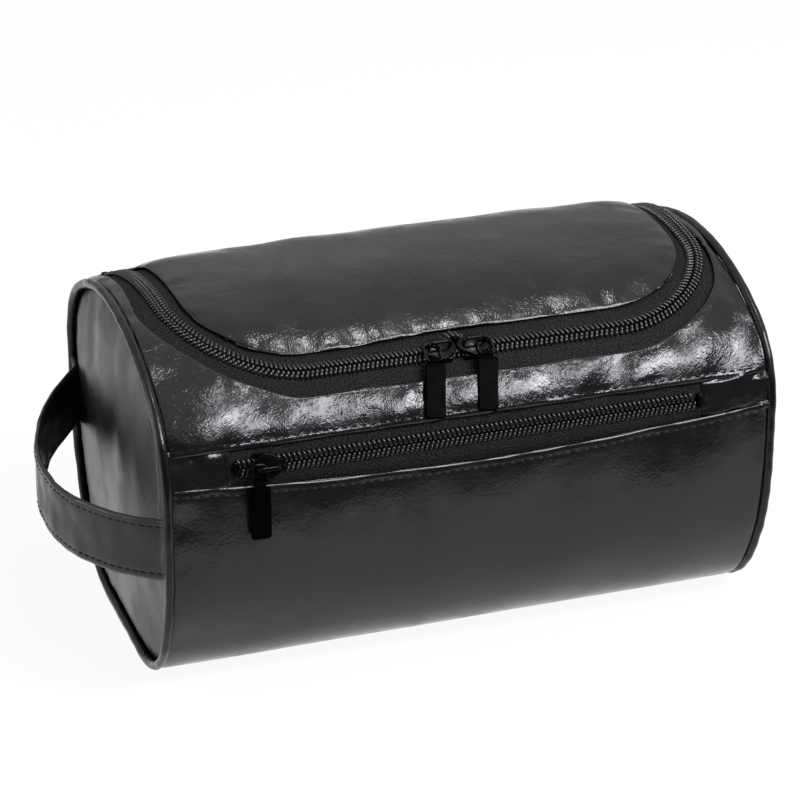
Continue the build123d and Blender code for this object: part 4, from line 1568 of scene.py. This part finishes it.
@dataclass
class Pull:
    """Slider with its bail, the wire link and the pull tab.

    Attributes:
        name: First words of its CAD nodes.
        body: First words of its CAD bodies.
        outline: Cross-section of the bag.
        x: Place along the bag.
        s: Place round the bag.
        mouth: Side of X that its wide end points to.
        pin: Middle of the link's upper limb.
        bar: Middle of the link's lower limb, where the tab hangs.
        fall: How many degrees below level the tab lies.
        swing: How many degrees the tab has slid round on its wire, to the left.
        base: Height of the upper plate's underside.
        plate: Thickness of the upper plate.
        width: Width of the slider.
        length: Length of the slider.
        link_half: Half the width of the wire link.
        link_drop: From the link's upper limb to its lower one.
        wire: Radius of the wire.
        tab_width: Width of the tab.
        tab_length: Length of the tab.
        tab_thick: Thickness of the tab.
        tab_roll: Radius of the roll round the wire.
    """

    name: str
    body: str
    outline: Outline
    x: float
    s: float
    mouth: int
    pin: tuple[float, float, float]
    bar: tuple[float, float, float]
    fall: float
    swing: float = 0.0
    base: float = 1.5
    plate: float = 1.1
    width: float = 9.6
    length: float = 13.0
    link_half: float = 2.9
    link_drop: float = 7.5
    wire: float = 0.55
    tab_width: float = 7.8
    tab_length: float = 22.0
    tab_thick: float = 1.4
    tab_roll: float = 1.15

    def plan(self) -> Array:
        """Outline of the plates: wide and pointed at the mouth, narrow at the tail."""
        half, side = self.length / 2, self.width / 2
        corners = np.array([(half, 0.7), (half - 0.5, 2.0), (half - 2.9, 3.7), (1.5, side + 0.35),
                            (0.2, side + 0.5), (-1.2, side + 0.2), (-3.6, 3.6), (-half + 1.0, 2.6),
                            (-half + 0.2, 1.9), (-half, 0.9)])
        both = np.concatenate([corners, corners[::-1] * (1, -1)])
        dense = resample(np.concatenate([both, both[:1]]), np.linspace(0, 1, 61))[:-1]
        dense = (np.roll(dense, 1, axis=0) + 2 * dense + np.roll(dense, -1, axis=0)) / 4
        return dense * (self.mouth, 1)

    def slab(self, plan: Array, layers: Sequence[tuple[float, float]]) -> tuple[Array, list]:
        """Stack of the outline at heights and shares of its size."""
        rings = [np.column_stack([plan * share, np.full(len(plan), level)]) for level, share in layers]
        return np.concatenate(rings), ring_faces(len(layers), len(plan))

    def slider(self) -> bpy.types.Object:
        """Slider: domed upper plate, flanges, lower plate, neck and bail."""
        plan, top = self.plan(), self.base + self.plate
        upper = self.slab(plan, ((self.base - 0.5, 0.95), (self.base - 0.2, 1.0), (top - 0.3, 1.0),
                                 (top - 0.1, 0.975), (top, 0.93)))
        lower = self.slab(plan, ((-3.75, 0.9), (-3.5, 1.0), (-2.75, 1.0), (-2.65, 0.97)))
        neck_plan = rounded_box(2.4, 0.5, 0.2) + (self.mouth * 4.1, 0)
        neck = self.slab(neck_plan, ((-2.8, 1.0), (self.base, 1.0)))
        parts = [upper, lower, neck]
        for side in (-1, 1):
            rim = rounded_box(4.8, 0.6, 0.25) + (self.mouth * 2.0, side * (self.width / 2 - 0.3))
            parts.append(self.slab(rim, ((-0.9, 1.0), (self.base, 1.0))))
        half, rise, bend = 4.1, 3.4, 1.3
        post, turn = (rise - bend, 0.0), (bend * pi / 2, -90.0)
        arch = trail((-half, top - 0.1), 90.0, [post, turn, (2 * (half - bend), 0.0), turn, post], 0.4)
        path = np.column_stack([arch[:, 0], np.zeros(len(arch)), arch[:, 1]])
        parts.append(sweep(path, rounded_box(1.5, 1.1, 0.45, 4), (0, 1, 0)))
        points, faces = joined(parts)
        seat = self.outline.seat(self.x, self.s)
        return crisp(mesh_object(f"{self.name}_slider_shape", moved(points, seat), faces), 28)

    def link(self) -> bpy.types.Object:
        """Wire loop from the bail to the tab."""
        arch, corner = 2.175, 0.95
        half, drop = self.link_half, self.link_drop
        limb, wide = (drop - arch - corner, 0.0), (arch * pi / 2, -90.0)
        tight, top = (corner * pi / 2, -90.0), (half - arch, 0.0)
        runs = [top, wide, limb, tight, (2 * (half - corner), 0.0), tight, limb, wide, top]
        loop = trail((0.0, 0.0), 0.0, runs, 0.35)[:-1]
        pin, bar = np.array(self.pin), np.array(self.bar)
        up = unit(pin - bar)
        side = np.array([1.0, 0.0, 0.0])
        path = pin + loop[:, :1] * side + loop[:, 1:] * up
        points, faces = sweep(path, circle(self.wire, 10), np.cross(side, up), closed=True)
        return outward(mesh_object(f"{self.name}_link_shape", points, faces))

    def tab(self) -> bpy.types.Object:
        """Pull tab with soft edges, rolled round the wire at its top."""
        middle = -(self.tab_length + self.tab_roll) / 2
        width, length, half = self.tab_width, self.tab_length - self.tab_roll, self.tab_thick / 2
        rings = []
        for level, inset in ((-half, 0.4), (-half + 0.14, 0.12), (-half + 0.4, 0.0), (half - 0.4, 0.0),
                             (half - 0.14, 0.12), (half, 0.4)):
            ring = rounded_box(width - 2 * inset, length - 2 * inset, 1.25 - inset, 5) + (0, middle)
            rings.append(np.column_stack([ring, np.full(len(ring), level)]))
        plate = (np.concatenate(rings), ring_faces(6, 20))
        roll = 2 * (self.link_half - self.wire - 0.3)
        bars = []
        for centre, level, radius, span in ((0.0, 0.0, self.tab_roll, roll),
                                            (-2.05, half, 0.3, width - 0.9)):
            stack = []
            for mark, share in ((-0.5, 0.75), (-0.46, 1.0), (0.46, 1.0), (0.5, 0.75)):
                ring = circle(share * radius, 14) + (centre, level)
                stack.append(np.column_stack([np.full(14, mark * span), ring]))
            bars.append((np.concatenate(stack), ring_faces(4, 14)))
        points, faces = joined([plate, *bars])
        turn = radians(self.fall)
        frame_here = np.eye(4)
        frame_here[:3, 1] = (0, cos(turn), sin(turn))
        frame_here[:3, 2] = np.cross((1.0, 0.0, 0.0), frame_here[:3, 1])
        frame_here[:3, 3] = self.bar
        points = moved(points, frame_here @ np.array(Matrix.Rotation(-radians(self.swing), 4, "Z")))
        return crisp(mesh_object(f"{self.name}_pull_tab_shape", points, faces), 20)

    def build(self, palette: Palette) -> None:
        """Make the slider, link and tab."""
        for piece, material, slot, part in ((self.slider(), palette.enamel, "black_metal", "slider"),
                                            (self.link(), palette.enamel, "black_metal", "link"),
                                            (self.tab(), palette.matt, "black_matte", "pull_tab")):
            dress(piece, material, slot, (f"{self.name}_{part}",), f"{self.body}_{part}_body")


@dataclass
class Stitching:
    """Stitches beside the pocket's seams.

    Attributes:
        outline: Cross-section of the bag.
        shell: The leather that they are sewn through.
        margin: From a leather edge to its stitches.
        pitch: From one stitch to the next.
    """

    outline: Outline
    shell: Shell
    margin: float = 2.1
    pitch: float = 3.7

    def build(self, palette: Palette) -> None:
        """Make the stitches of both seams and of the pocket's ends."""
        shell = self.shell
        x = np.linspace(2.5 - shell.half_body, shell.half_body - 2.5, 120)
        above = float(self.outline.at_height(shell.window_high + self.margin))
        upper = np.stack([x, np.full(len(x), above)], -1)
        lower = np.stack([x, self.outline.at_height(shell.low_edge(x) - self.margin)], -1)
        lines = [(upper, 0.28), (lower, 0.1)]
        high = float(self.outline.at_height(shell.window_high - 0.5))
        for spot in (shell.window_left - 1.6, shell.window_right + 1.6):
            low = float(self.outline.at_height(float(shell.low_edge(np.array(spot))) + 0.5))
            lines.append((np.array([[spot, high], [spot, low]]), -0.35))
        sets = [Cord(self.outline, line, rise).spots(self.pitch, 1.2)[:3] for line, rise in lines]
        spots, ways, outs = (np.concatenate(part) for part in zip(*sets))
        leather = [piece for piece in bpy.data.objects if piece.name.startswith(("leather_", "pocket_tab"))]
        spots, outs = laid_on(leather, spots, outs, -0.02)
        stitches = capsule(2.4, 0.9, 0.8).along("pocket_stitches", spots, ways, outs, palette.thread, 0.12)
        dress(stitches, palette.thread, "leather_gloss", (), "bag")


@dataclass
class Lining:
    """Cloth inside: the compartment, the ends, the yoke and the lid.

    Attributes:
        outline: Cross-section of the bag.
        shell: The leather that it is sewn to.
        wall: From the outline to the lining.
        front_wall: The same at the front, behind the pocket.
        half: Half the length of the compartment.
        before_hinge: From the lid's fold to the cloth of the back.
    """

    outline: Outline
    shell: Shell
    wall: float = 4.4
    front_wall: float = 9.6
    half: float = 113.9
    before_hinge: float = 3.2

    def compartment(self) -> bpy.types.Object:
        """Front, bottom and back."""
        x = np.linspace(-self.half, self.half, 60)
        hinge = float(self.outline.at_y(np.array(self.shell.back))) + 2 * self.outline.half_length
        front = float(self.outline.at_height(104.0))
        s = np.linspace(hinge - self.before_hinge, front, 90)
        grid_x, grid_s = np.meshgrid(x, s, indexing="ij")
        under_front = self.outline.half_length - 30
        near_front = 1 - soft_step(grid_s, under_front - 40, under_front)
        inset = self.wall + (self.front_wall - self.wall) * near_front
        rise = -inset - 0.3 - 0.3 * ripple(grid_x, grid_s, 24.0, 111)
        flat = np.stack([grid_x, grid_s], -1).reshape(-1, 2)
        points = self.outline.place(flat[:, 0], flat[:, 1], rise.ravel())
        return mesh_object("lining_compartment", points, grid_faces(60, 90, flip=True), flat)

    def yoke(self) -> bpy.types.Object:
        """Under the yoke, up to the zip."""
        grid = self.shell.yoke_grid(10.5, 103.6)
        across = np.linspace(0, 1, grid.shape[1])[None, :]
        depth = self.wall - 2.4 * (1 - across) ** 2 + 5.0 * across ** 2 * (grid[..., 1] > 60)
        flat = grid.reshape(-1, 2)
        rise = -np.broadcast_to(depth, grid.shape[:2]).ravel()
        rise = rise - 0.2 * ripple(flat[:, 0], flat[:, 1], 18.0, 113)
        keep = np.clip(flat[:, 0], -self.half, self.half)
        points = self.outline.place(keep, flat[:, 1], rise)
        return mesh_object("lining_yoke", points, grid_faces(*grid.shape[:2], flip=True), flat)

    def lid(self) -> bpy.types.Object:
        """Under the lid."""
        grid = self.shell.lid_grid()
        flat = grid.reshape(-1, 2)
        distance, _ = nearest(flat, self.shell.lid_edge(grid))
        inset = 2.0 + (self.wall - 1.9) * (1 - np.exp(-distance / 6))
        inset = inset + 0.25 * ripple(flat[:, 0], flat[:, 1], 22.0, 115)
        points = self.outline.place(flat[:, 0], flat[:, 1], -inset)
        return mesh_object("lining_lid", points, grid_faces(*grid.shape[:2], flip=True), flat)

    def end(self, side: int) -> bpy.types.Object:
        """At one end of the compartment."""
        count = 120
        s = np.linspace(-self.outline.half_length, self.outline.half_length, count, endpoint=False)
        rim = self.outline.place(np.full(count, self.outline.half_body), s, -self.wall + 0.6)[:, 1:]
        shares = np.array([0.1, 0.3, 0.5, 0.7, 0.85, 0.95, 1.0])
        spots = END_CENTRE + shares[:, None, None] * (rim - END_CENTRE)
        x = self.half + 0.1 - 0.4 * np.abs(ripple(spots[..., 0], spots[..., 1], 30.0, 117 + side))
        points = np.stack([side * x, spots[..., 0], spots[..., 1]], -1).reshape(-1, 3)
        faces = ring_faces(len(shares), count, caps=False) + [tuple(range(count))]
        name = "lining_end_left" if side < 0 else "lining_end_right"
        return face_along(mesh_object(name, points, faces, points[:, 1:]), -side)

    def build(self, palette: Palette) -> None:
        """Make the lining."""
        made = ((self.compartment(), ("body_lining", "pocket_lining"), "bag"), (self.yoke(), (), "bag"),
                (self.lid(), ("lid_lining",), "lid"), (self.end(-1), ("left_end_lining",), "bag"),
                (self.end(1), ("right_end_lining",), "bag"))
        for piece, nodes, body in made:
            dress(piece, palette.lining, "lining", nodes, body)


@dataclass
class Studio:
    """Floor, lights and camera.

    Attributes:
        camera_at: Where the camera is, in metres.
        look_at: What its axis passes through.
        lens: Focal length on a 36 mm sensor.
        shift: How far the picture is shifted, as shares of its width.
        room: Brightness of the room as light and as what is seen and mirrored.
        floor_white: How much of the floor's look is plain white, the rest being its shade.
        card_tone: Tone of the black cards.
        grey_tone: Tone of the grey card.
    """

    camera_at: tuple[float, float, float] = (-0.3532, -1.0129, 0.5683)
    look_at: tuple[float, float, float] = (0.0, 0.0, 0.060)
    lens: float = 134.2
    shift: tuple[float, float] = (-0.0166, 0.0551)
    room: tuple[float, float] = (0.42, 0.74)
    floor_white: float = 0.93
    card_tone: tuple[float, float, float] = (0.02, 0.02, 0.02)
    grey_tone: tuple[float, float, float] = (0.3, 0.3, 0.3)

    def camera(self) -> None:
        """Camera at the photograph's place."""
        eye = bpy.data.cameras.new("photo_camera")
        eye.lens = self.lens
        eye.sensor_width = 36.0
        eye.shift_x, eye.shift_y = self.shift
        eye.clip_start = 0.01
        held = bpy.data.objects.new("photo_camera", eye)
        held.location = self.camera_at
        way = Vector(self.look_at) - Vector(self.camera_at)
        held.rotation_euler = way.to_track_quat("-Z", "Y").to_euler()
        bpy.context.scene.collection.objects.link(held)
        bpy.context.scene.camera = held

    def softbox(self, name: str, at: Sequence[float], to: Sequence[float], size: tuple[float, float],
                power: float, colour: Sequence[float]) -> None:
        """Rectangular light.

        Args:
            name: Name of the light.
            at: Where it hangs, in metres.
            to: What it faces.
            size: Its two sides.
            power: Its power in watts.
            colour: Its colour.
        """
        lamp = bpy.data.lights.new(name, "AREA")
        lamp.shape = "RECTANGLE"
        lamp.size, lamp.size_y = size
        lamp.energy = power
        lamp.color = colour
        held = bpy.data.objects.new(name, lamp)
        held.location = at
        held.rotation_euler = (Vector(to) - Vector(at)).to_track_quat("-Z", "Y").to_euler()
        bpy.context.scene.collection.objects.link(held)

    def floor(self) -> None:
        """White floor that keeps its shadow but looks white to the camera."""
        corners = [(x, y, -0.3) for x, y in ((-4000, -4000), (4000, -4000), (4000, 4000), (-4000, 4000))]
        plane = mesh_object("floor", np.array(corners, float), [(0, 1, 2, 3)])
        mix = Recipe("floor_white")
        mix.set(Base_Color=(0.9, 0.9, 0.9, 1.0), Roughness=0.9, Specular_IOR_Level=0.0)
        glow = mix.node("ShaderNodeEmission", {"Color": (1.0, 1.0, 1.0, 1.0), "Strength": 1.0})
        share = mix.times(shown_share(mix.tree), self.floor_white)
        both = mix.node("ShaderNodeMixShader", {0: share, 1: mix.shader.outputs[0], 2: glow.outputs[0]})
        mix.tree.links.new(both.outputs[0], mix.tree.nodes["Material Output"].inputs["Surface"])
        plane.data.materials.append(mix.material)

    def card(self, name: str, corners: Sequence[Sequence[float]], tone: Sequence[float]) -> None:
        """Card that the glossy leather mirrors, kept out of the picture."""
        held = mesh_object(name, np.array(corners, float), [(0, 1, 2, 3)], smooth=False)
        mix = Recipe(name)
        mix.set(Base_Color=(*tone, 1.0), Roughness=0.9, Specular_IOR_Level=0.0)
        held.data.materials.append(mix.material)
        held.visible_camera = held.visible_diffuse = held.visible_shadow = False

    def world(self) -> None:
        """Plain room, brighter to the camera and in mirrored views than as light."""
        room = bpy.data.worlds.new("studio")
        bpy.context.scene.world = room
        room.use_nodes = True
        tree = room.node_tree
        lit = tree.nodes["Background"]
        shown = tree.nodes.new("ShaderNodeBackground")
        for node, strength in zip((lit, shown), self.room):
            node.inputs["Color"].default_value = (0.97, 0.98, 1.0, 1.0)
            node.inputs["Strength"].default_value = strength
        both = tree.nodes.new("ShaderNodeMixShader")
        for k, source in enumerate((shown_share(tree), lit.outputs[0], shown.outputs[0])):
            tree.links.new(source, both.inputs[k])
        tree.links.new(both.outputs[0], tree.nodes["World Output"].inputs["Surface"])

    def build(self) -> None:
        """Set up the studio."""
        self.camera()
        self.floor()
        self.world()
        cards = (
            ("dark_card_floor", self.card_tone,
             ((-1600, -800, 1), (1600, -800, 1), (1600, -235, 1), (-1600, -205, 1))),
            ("dark_card_front", self.card_tone,
             ((-1600, -800, 1), (1600, -800, 1), (1600, -800, 700), (-1600, -800, 700))),
            ("grey_card_back", self.grey_tone,
             ((1600, 900, 1), (-1600, 900, 1), (-1600, 900, 440), (1600, 900, 440))),
        )
        for name, tone, corners in cards:
            self.card(name, corners, tone)
        cool, pale, warm = (0.94, 0.96, 1.0), (0.96, 0.98, 1.0), (1.0, 0.97, 0.93)
        self.softbox("front_box", (0.52, -1.02, 1.22), (0.0, -0.06, 0.11), (0.85, 0.5), 22.5, cool)
        self.softbox("right_box", (0.98, -0.98, 1.16), (0.06, -0.05, 0.11), (0.4, 0.5), 12.0, cool)
        self.softbox("top_box", (0.26, -0.10, 1.3), (0.0, 0.0, 0.13), (0.34, 0.14), 4.0, pale)
        self.softbox("left_box", (-1.3, 0.35, 0.5), (-0.12, 0.0, 0.07), (0.5, 0.7), 4.3, warm)
        bpy.context.scene.view_settings.view_transform = "Standard"


@dataclass
class ToiletryBag:
    """The whole bag, made of its sub-assemblies."""

    outline: Outline = field(default_factory=Outline)

    def build(self) -> None:
        """Make every piece."""
        palette = Palette()
        zip_line = ZipLine(self.outline)
        shell = Shell(self.outline, zip_line)
        shell.build(palette)
        Ends(self.outline).build(palette)
        Handle(self.outline).build(palette)
        chain = ZipChain(self.outline, zip_line, shell)
        chain.build(palette)
        Stitching(self.outline, shell).build(palette)
        Lining(self.outline, shell).build(palette)
        front_s = float(self.outline.at_y(np.array(-zip_line.front)))
        pocket_s = float(self.outline.at_height(chain.pocket_z))
        pulls = (
            Pull("main_left", "left", self.outline, x=-9.2, s=front_s, mouth=1, fall=55.38, swing=11.0,
                 pin=(-12.7, -54.99, 127.808), bar=(-12.7, -61.272, 123.71)),
            Pull("main_right", "right", self.outline, x=4.5, s=front_s, mouth=-1, fall=55.38, swing=11.0,
                 pin=(8.0, -54.99, 127.808), bar=(8.0, -61.272, 123.71)),
            Pull("pocket", "pocket", self.outline, x=-82.6, s=pocket_s, mouth=-1, fall=90.0,
                 pin=(-86.1, -77.588, 99.698), bar=(-86.1, -78.546, 92.26)),
        )
        for pull in pulls:
            pull.build(palette)


def main() -> None:
    """Build the bag in its studio."""
    logging.basicConfig(level=logging.INFO, format="%(name)s %(message)s")
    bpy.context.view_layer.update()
    ToiletryBag().build()
    Studio().build()


if __name__ == "__main__":
    main()
